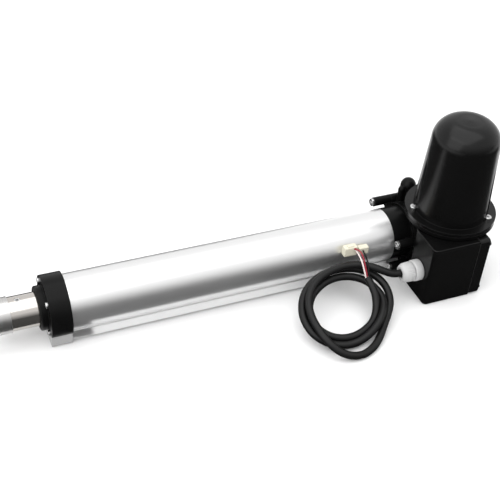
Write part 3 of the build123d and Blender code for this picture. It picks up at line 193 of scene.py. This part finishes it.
def make_edge_wear_and_highlight():
    """Pale edge = how far the true normal leans from the normal rounded over the edge's width,
    made steeper, times a noise. It marks where an edge is coloured paler, partly for rubbed-off
    paint and partly as a painted highlight."""
    group = bpy.data.node_groups.new("edge_wear_and_highlight", "ShaderNodeTree")
    group.interface.new_socket("Breakup Scale", in_out="INPUT", socket_type="NodeSocketFloat")
    group.interface.new_socket("Wear And Highlight", in_out="OUTPUT", socket_type="NodeSocketFloat")
    new, link = group.nodes.new, group.links.new
    inside, outside = new("NodeGroupInput"), new("NodeGroupOutput")
    rounded, true = new("ShaderNodeBevel"), new("ShaderNodeNewGeometry")
    rounded.samples = ROUNDING_SAMPLES
    rounded.inputs["Radius"].default_value = PALE_EDGE_WIDTH * MM
    lean = new("ShaderNodeVectorMath")
    lean.operation = "DOT_PRODUCT"
    link(rounded.outputs["Normal"], lean.inputs[0])
    link(true.outputs["Normal"], lean.inputs[1])
    edge = new("ShaderNodeMapRange")
    edge.inputs["From Min"].default_value = PALE_EDGE_STARTS
    edge.inputs["From Max"].default_value = PALE_EDGE_FULL
    link(lean.outputs["Value"], edge.inputs["Value"])
    place, breakup = new("ShaderNodeTexCoord"), new("ShaderNodeTexNoise")
    link(place.outputs["Object"], breakup.inputs["Vector"])
    link(inside.outputs["Breakup Scale"], breakup.inputs["Scale"])
    pale_edge = new("ShaderNodeMath")
    pale_edge.operation = "MULTIPLY"
    link(edge.outputs["Result"], pale_edge.inputs[0])
    link(breakup.outputs["Fac"], pale_edge.inputs[1])
    link(pale_edge.outputs[0], outside.inputs["Wear And Highlight"])
    return group


EDGE_WEAR_AND_HIGHLIGHT = make_edge_wear_and_highlight()
print("edge wear and painted highlight over", PALE_EDGE_WIDTH, "mm, nodes", len(EDGE_WEAR_AND_HIGHLIGHT.nodes))

# %% [markdown]
# ## Colours
# Nearly everything on an actuator is black, grey or metal, so most colours are one grey
# level with a little warmth. They could be typed as three numbers each, but one helper
# keeps them neutral, and a second one mixes two colours by a mask in the node tree.

# %% Greys and mixes
MIX_FACTOR, MIX_FIRST, MIX_SECOND, MIX_RESULT = 0, 6, 7, 2     # a Mix node's colour sockets


def grey(level, warmth=0.0):
    """Red = level * (1 + warmth), green = level, blue = level * (1 - warmth)."""
    return (level * (1 + warmth), level, level * (1 - warmth))


def mix_colour(tree, factor, first, second):
    """First where the factor is 0, second where it is 1. Each is a colour or a socket."""
    mix = tree.nodes.new("ShaderNodeMix")
    mix.data_type = "RGBA"
    tree.links.new(factor, mix.inputs[MIX_FACTOR])
    for socket, colour in ((mix.inputs[MIX_FIRST], first), (mix.inputs[MIX_SECOND], second)):
        if isinstance(colour, tuple):
            socket.default_value = (*colour, 1)
        else:
            tree.links.new(colour, socket)
    return mix.outputs[MIX_RESULT]


print("a grey and a warm grey", grey(0.5), grey(0.5, 0.1))

# %% [markdown]
# ## The recipe for a finish
# Every finish on the object differs in the same few ways: colour, gloss, metal or not, and
# the size of its grain. Each could be its own node tree, but one function makes them all.
# The blend of patches and grain moves the colour between a dark and a light tone and the
# roughness between two values, and the grain gives relief. A small bevel in the shader
# rounds the edges as a real part's are. The tube's satin aluminium is made first, as a try.

# %% The recipe, tried on the tube
BLEND_LOW, BLEND_HIGH = 0.3, 0.7        # the blend stays nearly always between these
TUBE_LINES = (0.01, 1, 1)               # grain drawn out along the tube


def finish(name, dark, light, roughness, metallic=0.0, patch=20.0, grain=0.5, depth=0.02,
           stretch=(1, 1, 1), bevel=0.4, specular=0.5, edge_worn_and_highlit=None):
    """A material. Sizes are in mm: patch and grain across, depth for the relief.
    stretch draws the grain out along an axis where its number is small, and
    edge_worn_and_highlit is the
    colour that its edges pale to: partly rubbed-off paint and partly a painted highlight."""
    material = bpy.data.materials.new(name)
    material.use_nodes = True
    tree = material.node_tree
    shader = tree.nodes["Principled BSDF"]
    shader.inputs["Metallic"].default_value = metallic
    shader.inputs["Specular IOR Level"].default_value = specular
    texture = tree.nodes.new("ShaderNodeGroup")
    texture.node_tree = PATCHES_AND_GRAIN
    texture.inputs["Patch Scale"].default_value = 1 / (patch * MM)
    texture.inputs["Grain Scale"].default_value = 1 / (grain * MM)
    texture.inputs["Stretch"].default_value = stretch
    blend, fine = texture.outputs["Blend"], texture.outputs["Grain"]
    colour = mix_colour(tree, blend, dark, light)
    # Edges pale towards a colour that is partly wear and partly a painted highlight.
    if edge_worn_and_highlit:
        pale_edge = tree.nodes.new("ShaderNodeGroup")
        pale_edge.node_tree = EDGE_WEAR_AND_HIGHLIGHT
        pale_edge.inputs["Breakup Scale"].default_value = 1 / (patch * MM)
        colour = mix_colour(tree, pale_edge.outputs["Wear And Highlight"], colour, edge_worn_and_highlit)
    tree.links.new(colour, shader.inputs["Base Color"])

    rough = tree.nodes.new("ShaderNodeMapRange")
    rough.inputs["From Min"].default_value = BLEND_LOW
    rough.inputs["From Max"].default_value = BLEND_HIGH
    rough.inputs["To Min"].default_value = roughness[0]
    rough.inputs["To Max"].default_value = roughness[1]
    tree.links.new(blend, rough.inputs["Value"])
    tree.links.new(rough.outputs["Result"], shader.inputs["Roughness"])

    bump = tree.nodes.new("ShaderNodeBump")
    bump.inputs["Strength"].default_value = 1.0
    bump.inputs["Distance"].default_value = depth * MM
    tree.links.new(fine, bump.inputs["Height"])
    if bevel:
        edge = tree.nodes.new("ShaderNodeBevel")
        edge.samples = ROUNDING_SAMPLES
        edge.inputs["Radius"].default_value = bevel * MM
        tree.links.new(edge.outputs["Normal"], bump.inputs["Normal"])
    tree.links.new(bump.outputs["Normal"], shader.inputs["Normal"])
    return material


FINISHES = {
    "tube_aluminium": finish(
        "satin_aluminium", grey(0.80), grey(0.86), (0.28, 0.34), metallic=0.92, patch=90,
        grain=0.5, depth=0.002, stretch=TUBE_LINES, bevel=0.3),
}
print("nodes in the tube's finish", len(FINISHES["tube_aluminium"].node_tree.nodes))

# %% [markdown]
# ## Metals
# The rod is polished stainless steel, its end and the screws are bright zinc, and the
# shafts and bearings inside are ground. All are Metallic 1 with a narrow range of
# roughness, because a metal's look is nearly all reflection: a wide range looks dirty. The
# rod is a little warm, and lines from polishing or turning draw its reflections out.

# %% Metals
ROD_LINES = (0.02, 1, 1)                # along the rod
TURNING_LINES = (1, 0.05, 0.05)         # round the rod end
WINDING_LINES = (1, 1, 0.1)             # along the motor's copper bars
FINISHES.update({
    "rod_steel": finish(
        "polished_rod", grey(0.42, 0.08), grey(0.66, 0.04), (0.10, 0.16), metallic=1.0,
        patch=60, grain=0.8, depth=0.002, stretch=ROD_LINES, bevel=0.2),
    "rod_end_steel": finish(
        "zinc_rod_end", grey(0.52, 0.02), grey(0.66, 0.01), (0.24, 0.36), metallic=1.0,
        patch=12, grain=0.5, depth=0.006, stretch=TURNING_LINES, bevel=0.5),
    "screw_steel": finish(
        "bright_zinc", grey(0.60), grey(0.74), (0.16, 0.30), metallic=1.0, patch=3,
        grain=0.3, depth=0.004, bevel=0.25),
    "bearing_steel": finish(
        "ground_bearing_steel", grey(0.58), grey(0.70), (0.10, 0.18), metallic=1.0, patch=6,
        grain=0.3, depth=0.002),
    "shaft_steel": finish(
        "ground_shaft_steel", grey(0.42), grey(0.56), (0.22, 0.34), metallic=1.0, patch=14,
        grain=0.4, depth=0.004),
    "bronze": finish(
        "machined_bronze", (0.50, 0.34, 0.13), (0.66, 0.47, 0.20), (0.24, 0.36),
        metallic=1.0, patch=9, grain=0.5, depth=0.006),
    "copper": finish(
        "copper", (0.60, 0.28, 0.14), (0.76, 0.40, 0.22), (0.2, 0.34), metallic=1.0,
        patch=4, grain=0.6, depth=0.02, stretch=WINDING_LINES),
})
print("finishes so far", len(FINISHES))

# %% [markdown]
# ## Black castings and mouldings
# The castings are painted black over a pebbled skin, and the motor's dome and the junction
# box are smoother black mouldings. A black could be made by colour alone, but the gloss
# over it then lifts it to grey, so these have a very dark base and a low specular level.
# Both are a little paler at the edges, partly from wear and partly as a painted highlight.

# %% Black castings and mouldings
FINISHES.update({
    # The pale edge colours below are partly wear and partly a painted highlight.
    "black_casting": finish(
        "black_casting", grey(0.002), grey(0.005), (0.26, 0.38), patch=15, grain=0.8,
        depth=0.02, bevel=0.6, specular=0.12, edge_worn_and_highlit=grey(0.05)),
    "black_plastic": finish(
        "satin_black_moulding", grey(0.002), grey(0.0035), (0.21, 0.26), patch=60,
        grain=0.8, depth=0.002, bevel=0.5, specular=0.26, edge_worn_and_highlit=grey(0.03)),
})
print("finishes so far", len(FINISHES))

# %% [markdown]
# ## Seals, nylon, board, cable and wires
# The small parts are matt rubber, pale nylon, a green circuit board, and the cable's and
# wires' plastic jackets. They need no metal and no wear, so the recipe's plain form does,
# and only colour, roughness and grain change.

# %% Seals, nylon, board, cable and wires
FINISHES.update({
    "rubber_seal": finish(
        "matt_rubber", grey(0.012), grey(0.022), (0.6, 0.75), patch=8, grain=0.4,
        depth=0.01),
    "white_nylon": finish(
        "natural_nylon", (0.72, 0.71, 0.66), (0.80, 0.79, 0.74), (0.38, 0.5), patch=12,
        grain=0.5, depth=0.006),
    "grey_nylon": finish(
        "light_grey_nylon", grey(0.46), grey(0.54), (0.34, 0.46), patch=10, grain=0.4,
        depth=0.008, bevel=0.7),
    "connector_nylon": finish(
        "cream_nylon", (0.66, 0.63, 0.50), (0.78, 0.75, 0.62), (0.34, 0.46), patch=6,
        grain=0.4, depth=0.008, bevel=0.3),
    "board_green": finish(
        "solder_resist", (0.01, 0.09, 0.03), (0.02, 0.14, 0.05), (0.2, 0.3), patch=6,
        grain=0.5, depth=0.01),
    "cable_black": finish(
        "black_cable_jacket", grey(0.004), grey(0.009), (0.34, 0.44), patch=8, grain=0.5,
        depth=0.01, bevel=0.0, specular=0.25),
    "wire_white": finish(
        "white_wire", (0.72, 0.60, 0.58), (0.85, 0.76, 0.74), (0.3, 0.42), patch=5,
        grain=0.4, depth=0.006, bevel=0.0),
    "wire_red": finish(
        "red_wire", (0.22, 0.01, 0.02), (0.34, 0.02, 0.04), (0.28, 0.4), patch=5,
        grain=0.4, depth=0.006, bevel=0.0),
})
print("finishes", len(FINISHES))

# %% [markdown]
# ## A finish for every node
# The record says which material slot each node belongs to. The finishes could be given
# node by node, but reading the slots means that no node is forgotten.

# %% A finish for every node
SLOT_OF = {entry["node"]: entry["material_slot"] for entry in frame["record"]["subparts"]}


def shade(piece, material):
    """Gives a piece one material and no other."""
    piece.data.materials.clear()
    piece.data.materials.append(material)


for name, node in nodes.items():
    shade(node, FINISHES[SLOT_OF[name]])
print("nodes with a finish", len(nodes), "from slots", len(set(SLOT_OF.values())))

# %% [markdown]
# ## Bare foot of the front cap
# The front cap is painted, but the foot under it, which stands on the same level as the
# tube's keel, is bare. Both are one casting, so the mesh could be split in two, but its
# shape would change. One material holds both finishes instead and swaps them by height: a
# mask that is 1 below the paint line and 0 above it. The bare casting is a dull grey that
# mirrors nothing, so it stays non-metallic.

# %% Painted cap with a bare foot
PAINT_LINE = -18.6                  # mm over the tube's axis
PAINT_FADE = 0.2                    # mm to each side of the line
BARE_CASTING = grey(0.38)


def make_foot_finish():
    """The casting's finish, mixed to bare casting below the paint line."""
    material = FINISHES["black_casting"].copy()
    material.name = "casting_with_bare_foot"
    tree = material.node_tree
    shader = tree.nodes["Principled BSDF"]
    place, split, mask = (tree.nodes.new("ShaderNode" + kind)
                          for kind in ("TexCoord", "SeparateXYZ", "MapRange"))
    tree.links.new(place.outputs["Object"], split.inputs[0])
    tree.links.new(split.outputs["Z"], mask.inputs["Value"])
    line = at(0, 0, PAINT_LINE).z
    mask.inputs["From Min"].default_value = line + PAINT_FADE * MM
    mask.inputs["From Max"].default_value = line - PAINT_FADE * MM
    painted = shader.inputs["Base Color"].links[0].from_socket
    both = mix_colour(tree, mask.outputs["Result"], painted, BARE_CASTING)
    tree.links.new(both, shader.inputs["Base Color"])
    return material


shade(nodes["front_cap"], make_foot_finish())
print("paint line at height", round(at(0, 0, PAINT_LINE).z, 4))

# %% [markdown]
# ## Gland
# The cable enters the junction box through a light grey nylon gland: a round dome nut with
# fine grip ribs, and behind it the gland's own collar. Both are turned shapes, so each is
# a profile carried round the gland's axis. The ribs come from making the radius rise and
# fall with the angle, which a modifier couldn't do as evenly.

# %% A turned surface with ribs
AROUND = 180                        # steps round the axis
GLAND_Y = -68.0                     # where the gland's axis runs, level with the tube's


def turned(name, profile, ribs, slot):
    """A closed profile of (x, radius, rib height) carried round the gland's axis. A point
    stands at radius + rib height * cos(ribs * angle) from the axis."""
    along, radius, rise = np.array(profile).T[:, :, None]
    angle = np.linspace(0, 2 * np.pi, AROUND, endpoint=False)[None, :]
    reach = radius + rise * np.cos(ribs * angle)
    grid = np.stack([along + 0 * reach, GLAND_Y + reach * np.cos(angle),
                     reach * np.sin(angle)], axis=-1)
    places = np.array(ORIGIN) + grid.reshape(-1, 3) * MM
    rows = len(profile)
    row, step = np.meshgrid(np.arange(rows), np.arange(AROUND), indexing="ij")
    below, after = (row + 1) % rows, (step + 1) % AROUND
    corners = np.stack([row * AROUND + step, row * AROUND + after, below * AROUND + after,
                        below * AROUND + step], axis=-1).reshape(-1, 4)
    mesh = bpy.data.meshes.new(name)
    mesh.from_pydata(places, [], corners)
    mesh.polygons.foreach_set("use_smooth", np.ones(len(corners), dtype=bool))
    piece = bpy.data.objects.new(name, mesh)
    bpy.context.scene.collection.objects.link(piece)
    shade(piece, FINISHES[slot])
    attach(piece, "housing")
    print(name, "faces", len(corners), "widest radius", round(float(reach.max()), 2))
    return piece


print("gland's axis at", tuple(round(value, 4) for value in at(0, GLAND_Y, 0)))

# %% Dome nut
NUT_RIBS = 30
NUT_PROFILE = [
    (-11.4, 4.6, 0), (-12.3, 5.2, 0), (-12.6, 6.4, 0), (-12.4, 7.6, 0),     # rounded mouth
    (-11.6, 8.8, 0), (-10.4, 9.7, 0), (-9.2, 10.2, 0.05),                   # dome
    (-8.4, 10.5, 0.2), (-4.0, 10.8, 0.25), (0.6, 11.0, 0.25), (1.0, 10.9, 0.2),     # grip
    (1.3, 10.5, 0), (1.3, 8.2, 0), (-6.0, 8.1, 0), (-10.5, 5.6, 0),         # rim and bore
]
nut = turned("gland_nut_shown", NUT_PROFILE, NUT_RIBS, "grey_nylon")
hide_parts("gland_nut")

# %% Collar
COLLAR_RIBS = 36
COLLAR_PROFILE = [
    (2.0, 8.3, 0), (2.0, 10.9, 0), (2.3, 11.5, 0.1),                        # front face
    (2.9, 11.8, 0.15), (5.6, 11.9, 0.15), (10.6, 11.9, 0.15),               # grip
    (11.1, 11.6, 0), (11.35, 11.2, 0), (11.35, 7.9, 0),                     # back face
    (20.0, 7.9, 0), (20.0, 5.0, 0), (1.6, 5.0, 0), (1.6, 7.9, 0),           # shank and bore
]
collar = turned("gland_body_shown", COLLAR_PROFILE, COLLAR_RIBS, "grey_nylon")
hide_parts("gland_body")

# %% [markdown]
# ## Route of the cable
# The cable leaves the gland, passes over the coil's outer turn, and makes three loose
# turns that lie on the floor at the front and lean towards the tube at the back. Its
# jacket ends on top of the coil. Such a coil could be left to a simulation to settle, but
# it is easy to say in its own plane, as distance and height against the angle turned. A
# helper turns that into places, and the plane is tilted once for all of them. Where two
# turns cross, the upper one is about the cable's width higher, so that it rests on the
# lower one.

# %% Route of the cable
COIL_CENTRE = (-83.5, -87.0, -14.8)
COIL_TILT = np.radians(18.0)
POINTS_A_TURN = 18
LEAD = [(-0.7, GLAND_Y, 0), (-18, GLAND_Y, 0), (-28.5, -63.6, 3), (-38.5, -56.8, 6.2),
        (-49, -49.4, 7.2), (-61, -45.6, 7)]

# The cable's middle line round the coil: the angle it has turned through in degrees, its
# distance from the coil's centre and its height over the coil's plane, in mm.
FIRST_TURN = [
    (80, 47.7, 8.0), (92, 45.6, 7.2), (105, 44.9, 7.0), (120, 44.8, 6.7), (150, 45.2, 6.0),
    (182, 46.2, 5.8), (198, 47.8, 6.8), (210, 50.4, 7.8), (222, 54.2, 7.2),
    (234, 57.8, 4.8), (246, 59.6, 2.2), (258, 58.2, 0.6), (270, 54.8, -0.4),
    (282, 50.6, -2.0), (293, 46.6, -2.8), (305, 43.6, -3.2), (318, 41.8, -3.2),
    (330, 42.8, -3.2), (345, 46.6, -2.8), (362, 53.2, -1.6), (379, 57.0, -0.8),
    (393, 57.4, -0.4), (405, 56.2, -0.4), (420, 53.4, -0.4), (435, 50.6, -0.5),
]
SECOND_TURN = [
    (450, 48.9, -0.7), (480, 48.7, -1.2), (510, 50.5, -1.0), (540, 53.2, -0.6),
    (560, 53.2, -1.0), (575, 51.0, -2.0), (590, 47.4, -2.9), (605, 43.8, -3.1),
    (620, 40.6, -2.6), (632, 38.0, -1.4), (645, 36.8, 0.8), (660, 35.8, 3.4),
    (672, 35.6, 4.8), (685, 36.4, 5.2), (700, 38.4, 4.6), (712, 41.0, 3.4),
    (725, 43.6, 0.0), (740, 45.2, -2.2), (755, 46.2, -3.3), (770, 45.4, -3.3),
    (790, 42.8, -3.2),
]
LAST_TURN = [
    (810, 40.7, -3.2), (840, 39.9, -3.2), (870, 42, -3.2), (902, 44.0, -3.3),
    (920, 42.9, -3.3), (937, 40.5, -3.3), (952, 37.4, -3.3), (967, 34.3, -3.3),
    (982, 31.6, -3.3), (997, 29.6, -3.3), (1012, 28.4, -3.3), (1030, 29.0, -3.2),
    (1045, 30.2, -2.6), (1058, 31.2, -1.4), (1072, 32.2, 0.8), (1085, 33.8, 3.4),
    (1100, 37.6, 5.2), (1110, 40.6, 5.5), (1119, 43.5, 5.5),
]
TURNS = np.array(FIRST_TURN + SECOND_TURN + LAST_TURN)


def coil_points():
    """The coil's middle line in mm, read off the table at even steps of its angle. X =
    reach * cos(angle) and the slope's own direction = reach * sin(angle), which the tilt
    turns upwards together with the height."""
    table_angle, table_reach, table_height = TURNS.T
    steps = round((table_angle[-1] - table_angle[0]) / 360 * POINTS_A_TURN)
    angle = np.linspace(table_angle[0], table_angle[-1], steps + 1)
    reach = np.interp(angle, table_angle, table_reach)
    height = np.interp(angle, table_angle, table_height)
    turn = np.radians(angle)
    along = reach * np.sin(turn)
    return np.array(COIL_CENTRE) + np.column_stack([
        reach * np.cos(turn),
        along * np.cos(COIL_TILT) - height * np.sin(COIL_TILT),
        along * np.sin(COIL_TILT) + height * np.cos(COIL_TILT)])


cable_route = np.vstack([LEAD, coil_points()])
print("cable's points", len(cable_route), "lowest in mm", round(cable_route[:, 2].min(), 1))

# %% [markdown]
# ## Cable
# The cable is one round cord, 8.4 mm across. It could be a chain of straight tubes, but
# those kink where they meet. Here it is a curve with a round bevel: the curve's points are
# the route, and one smooth spline carries the circle along it without a kink.

# %% A cord along a route
CORD_ROUNDNESS = 5                  # 0 is a square cord, and each step adds two sides
CORD_STEPS = 8                      # steps between two points of the route


def make_cord(name, route, radius, slot):
    """A round cord along one smooth curve. Its route and radius are in the part's
    millimetres."""
    places = np.array(ORIGIN) + np.array(route) * MM
    curve = bpy.data.curves.new(name, "CURVE")
    curve.dimensions = "3D"
    curve.bevel_depth = radius * MM
    curve.bevel_resolution = CORD_ROUNDNESS
    curve.resolution_u = CORD_STEPS
    curve.use_fill_caps = True
    spline = curve.splines.new("NURBS")
    spline.points.add(len(places) - 1)
    spline.points.foreach_set("co", np.column_stack([places, np.ones(len(places))]).ravel())
    spline.order_u = 3
    spline.use_endpoint_u = True
    cord = bpy.data.objects.new(name, curve)
    bpy.context.scene.collection.objects.link(cord)
    shade(cord, FINISHES[slot])
    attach(cord, "housing")
    return cord


def cord_length(cord):
    """Length of a cord's middle line, in metres: the distances between the smooth curve's
    own points, added up."""
    line = cord.copy()
    curve = line.data = cord.data.copy()
    curve.bevel_depth = 0
    mesh = bpy.data.meshes.new_from_object(line)
    places = np.empty(3 * len(mesh.vertices))
    mesh.vertices.foreach_get("co", places)
    bpy.data.objects.remove(line)
    bpy.data.curves.remove(curve)
    bpy.data.meshes.remove(mesh)
    steps = np.diff(places.reshape(-1, 3), axis=0)
    return float(np.linalg.norm(steps, axis=1).sum())


print("sides of a cord", 4 + 2 * CORD_ROUNDNESS)

# %% Cable
CABLE_RADIUS = 4.2
cable = make_cord("cable", cable_route, CABLE_RADIUS, "cable_black")
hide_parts("cable_lead", "cable_coil")
print("cable length in metres", round(cord_length(cable), 4))

# %% [markdown]
# ## Wires
# Three thin wires leave the jacket's end side by side, rise over the coil and drop into
# two small connectors that rest on the tube. They are cords like the cable, so the same
# helper makes them, and each starts a little to one side of the jacket's middle.

# %% Wires
WIRE_RADIUS = 0.9
WIRE_START = (-49.7, -62.5, -1.6)
WIRES = {       # colour: shift to the side at the start, and the rest of the route
    "white": (-1.9, [(-52.5, -57, 8), (-53.0, -46, 17.5), (-54.5, -35.2, 20)]),
    "red": (0.0, [(-50.3, -56, 9), (-51.0, -47, 20), (-53.0, -40, 22.5), (-57, -34.5, 20.5)]),
    "black": (1.9, [(-47.5, -57.5, 8.5), (-46, -49, 15.5), (-44, -34.3, 15)]),
}
wires, wire_starts = {}, {}
for colour, (shift, route) in WIRES.items():
    wire_starts[colour] = (WIRE_START[0] + shift, *WIRE_START[1:])
    slot = "cable_black" if colour == "black" else "wire_" + colour
    wires[colour] = make_cord("wire_" + colour + "_shown", [wire_starts[colour]] + route,
                              WIRE_RADIUS, slot)
    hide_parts("wire_" + colour)

print("wire lengths in metres",
      {colour: round(cord_length(wire), 4) for colour, wire in wires.items()})

# %% [markdown]
# ## Free cords
# The cable and the wires hang free of the casting: a user could lay them another way. Their
# lengths could be typed in, but they are measured on the curves instead.

# %% Measure the free cords
cord_length(cable)
for colour, wire in wires.items():
    cord_length(wire)
print("free cords", 1 + len(wires))

# %% [markdown]
# ## Floor
# The object lies on a plain white floor, wide enough that its edges are far away. It is
# one flat face with a matt material, not part of the object.

# %% Floor
FLOOR_HALF = 6.0                    # metres from the middle to each side
FLOOR_WHITE = grey(0.92)


def plain(name, colour):
    """A plain matt stage material."""
    material = bpy.data.materials.new(name)
    material.use_nodes = True
    shader = material.node_tree.nodes["Principled BSDF"]
    shader.inputs["Base Color"].default_value = (*colour, 1)
    shader.inputs["Roughness"].default_value = 0.9
    shader.inputs["Specular IOR Level"].default_value = 0.0
    return material


def stage_plane(name, corners, material):
    """A flat face through four corners, in metres, that isn't part of the object."""
    mesh = bpy.data.meshes.new(name)
    mesh.from_pydata(corners, [], [(0, 1, 2, 3)])
    mesh.materials.append(material)
    plane = bpy.data.objects.new(name, mesh)
    bpy.context.scene.collection.objects.link(plane)
    return plane


floor_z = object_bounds()[0][2]
stage_plane("floor", [(side * FLOOR_HALF, depth * FLOOR_HALF, floor_z)
                      for side, depth in ((-1, -1), (1, -1), (1, 1), (-1, 1))],
            plain("white_floor", FLOOR_WHITE))
print("floor at height", round(floor_z, 4))

# %% [markdown]
# ## Black cards
# In a product studio, black cards lie beside bright metal so that it mirrors a dark line
# along its length. Darker metal could give the same line from one side only. These cards
# lie just over the floor beside the tube, the rod and the dome, and only reflections see
# them, so they leave the floor and its shadows as they are.

# %% Black cards
CARD_BLACK = plain("black_card", grey(0.06))
CARD_LIFT = 0.6                     # mm over the floor


def only_in_reflections(card):
    """Hides a card from everything but reflections."""
    for sight in ("visible_camera", "visible_diffuse", "visible_shadow",
                  "visible_transmission"):
        setattr(card, sight, False)


def black_card(name, x_span, y_span):
    """A level black card over a span of x and of y, in mm, lifted off the floor."""
    height = floor_z + CARD_LIFT * MM
    card = stage_plane(name, [(*at(x, y, 0).xy, height) for x, y in (
        (x_span[0], y_span[0]), (x_span[1], y_span[0]),
        (x_span[1], y_span[1]), (x_span[0], y_span[1]))], CARD_BLACK)
    only_in_reflections(card)
    print(name, "width and depth in mm", x_span[1] - x_span[0], y_span[1] - y_span[0])


black_card("tube_flag", (-345, 900), (-1500, -42))
black_card("rod_flag", (-700, -345), (-1500, -28))
black_card("dome_flag", (-600, 20), (42, 700))

# %% [markdown]
# ## Fading card
# Above the dark line, the tube's side fades softly to white. A dim sky in front would do
# that, but it would also show behind the object. So an upright card stands in front that
# only reflections see. It glows from nearly black at the floor to white at its top.

# %% Fading card
FADE_X = (-3500, 3500)
FADE_Y = -1500
FADE_HEIGHT = 1020
FADE_DARKEST = 0.06


def fading_card(name):
    """An upright card. Its glow = from the darkest level at the floor, straight up to 1 at
    its top, by height."""
    left, right = at(FADE_X[0], FADE_Y, 0), at(FADE_X[1], FADE_Y, 0)
    top = floor_z + FADE_HEIGHT * MM
    material = plain(name, grey(0.0))
    tree = material.node_tree
    shader = tree.nodes["Principled BSDF"]
    shader.inputs["Emission Strength"].default_value = 1.0
    place, split, fade = (tree.nodes.new("ShaderNode" + kind)
                          for kind in ("TexCoord", "SeparateXYZ", "MapRange"))
    tree.links.new(place.outputs["Object"], split.inputs[0])
    tree.links.new(split.outputs["Z"], fade.inputs["Value"])
    fade.inputs["From Min"].default_value = floor_z
    fade.inputs["From Max"].default_value = top
    fade.inputs["To Min"].default_value = FADE_DARKEST
    glow = mix_colour(tree, fade.outputs["Result"], grey(0.0), grey(1.0))
    tree.links.new(glow, shader.inputs["Emission Color"])
    card = stage_plane(name, [(left.x, left.y, floor_z), (right.x, left.y, floor_z),
                              (right.x, left.y, top), (left.x, left.y, top)], material)
    only_in_reflections(card)
    print(name, "top at height", round(top, 3))


fading_card("front_fade")

# %% [markdown]
# ## Lamps
# Two large, weak lamps give the soft shadow under the object. One strong lamp could light
# it alone, but it would show as a hard square in the glossy dome. So the sky does most of
# the work, and the lamps only add a little from above and from the left.

# %% Lamps
AIM = (-150, -30, 0)                # a point on the tube


def area_light(name, place, size, power):
    """A soft square light that points at the tube. Its place is in mm, its side in metres
    and its power in watts."""
    data = bpy.data.lights.new(name, "AREA")
    data.shape = "SQUARE"
    data.size = size
    data.energy = power
    light = bpy.data.objects.new(name, data)
    light.location = at(*place)
    light.rotation_euler = (at(*AIM) - light.location).to_track_quat("-Z", "Y").to_euler()
    bpy.context.scene.collection.objects.link(light)
    print(name, "side", size, "m, power", power, "W")


area_light("overhead", (-300, -100, 1800), 2.4, 22)
area_light("left_window", (-1500, -500, 900), 1.6, 9)

# %% [markdown]
# ## Sky
# The sky lights the object softly: bright above and behind, dim in front near the horizon,
# which gives its faces different greys. A plain white world would light all sides alike.
# The camera and reflections see plain white instead, because the background is white and
# metal should mirror the background that it stands in front of.

# %% Sky
SKY_UP = (-0.05, 0.45, 0.9)         # the sky brightens towards this direction
SKY_DARK, SKY_BRIGHT = -0.45, 0.15      # the lean at which it is dimmest and brightest
SKY_DIMMEST = 0.06
SKY_STRENGTH = 1.05


def make_sky():
    """Light = from the dimmest level to 1 by the dot product of a direction and the sky's
    up, times the strength. What camera, mirrors and glass see = 1."""
    world = bpy.data.worlds.new("studio")
    bpy.context.scene.world = world
    world.use_nodes = True
    tree = world.node_tree
    background = tree.nodes["Background"]
    place = tree.nodes.new("ShaderNodeTexCoord")
    lean = tree.nodes.new("ShaderNodeVectorMath")
    lean.operation = "DOT_PRODUCT"
    lean.inputs[1].default_value = SKY_UP
    tree.links.new(place.outputs["Generated"], lean.inputs[0])
    rise = tree.nodes.new("ShaderNodeMapRange")
    rise.inputs["From Min"].default_value = SKY_DARK
    rise.inputs["From Max"].default_value = SKY_BRIGHT
    rise.inputs["To Min"].default_value = SKY_DIMMEST
    tree.links.new(lean.outputs["Value"], rise.inputs["Value"])
    path = tree.nodes.new("ShaderNodeLightPath")
    shown = path.outputs["Is Camera Ray"]
    for ray in ("Is Glossy Ray", "Is Transmission Ray"):
        either = tree.nodes.new("ShaderNodeMath")
        either.operation = "MAXIMUM"
        tree.links.new(shown, either.inputs[0])
        tree.links.new(path.outputs[ray], either.inputs[1])
        shown = either.outputs[0]
    colour = mix_colour(tree, shown, rise.outputs["Result"], grey(1 / SKY_STRENGTH))
    tree.links.new(colour, background.inputs["Color"])
    background.inputs["Strength"].default_value = SKY_STRENGTH
    print("sky nodes", len(tree.nodes))


make_sky()

# %% [markdown]
# ## View
# Standard view keeps a colour as it is written.

# %% Finish
scene = bpy.context.scene
scene.view_settings.view_transform = "Standard"
scene.view_settings.look = "None"
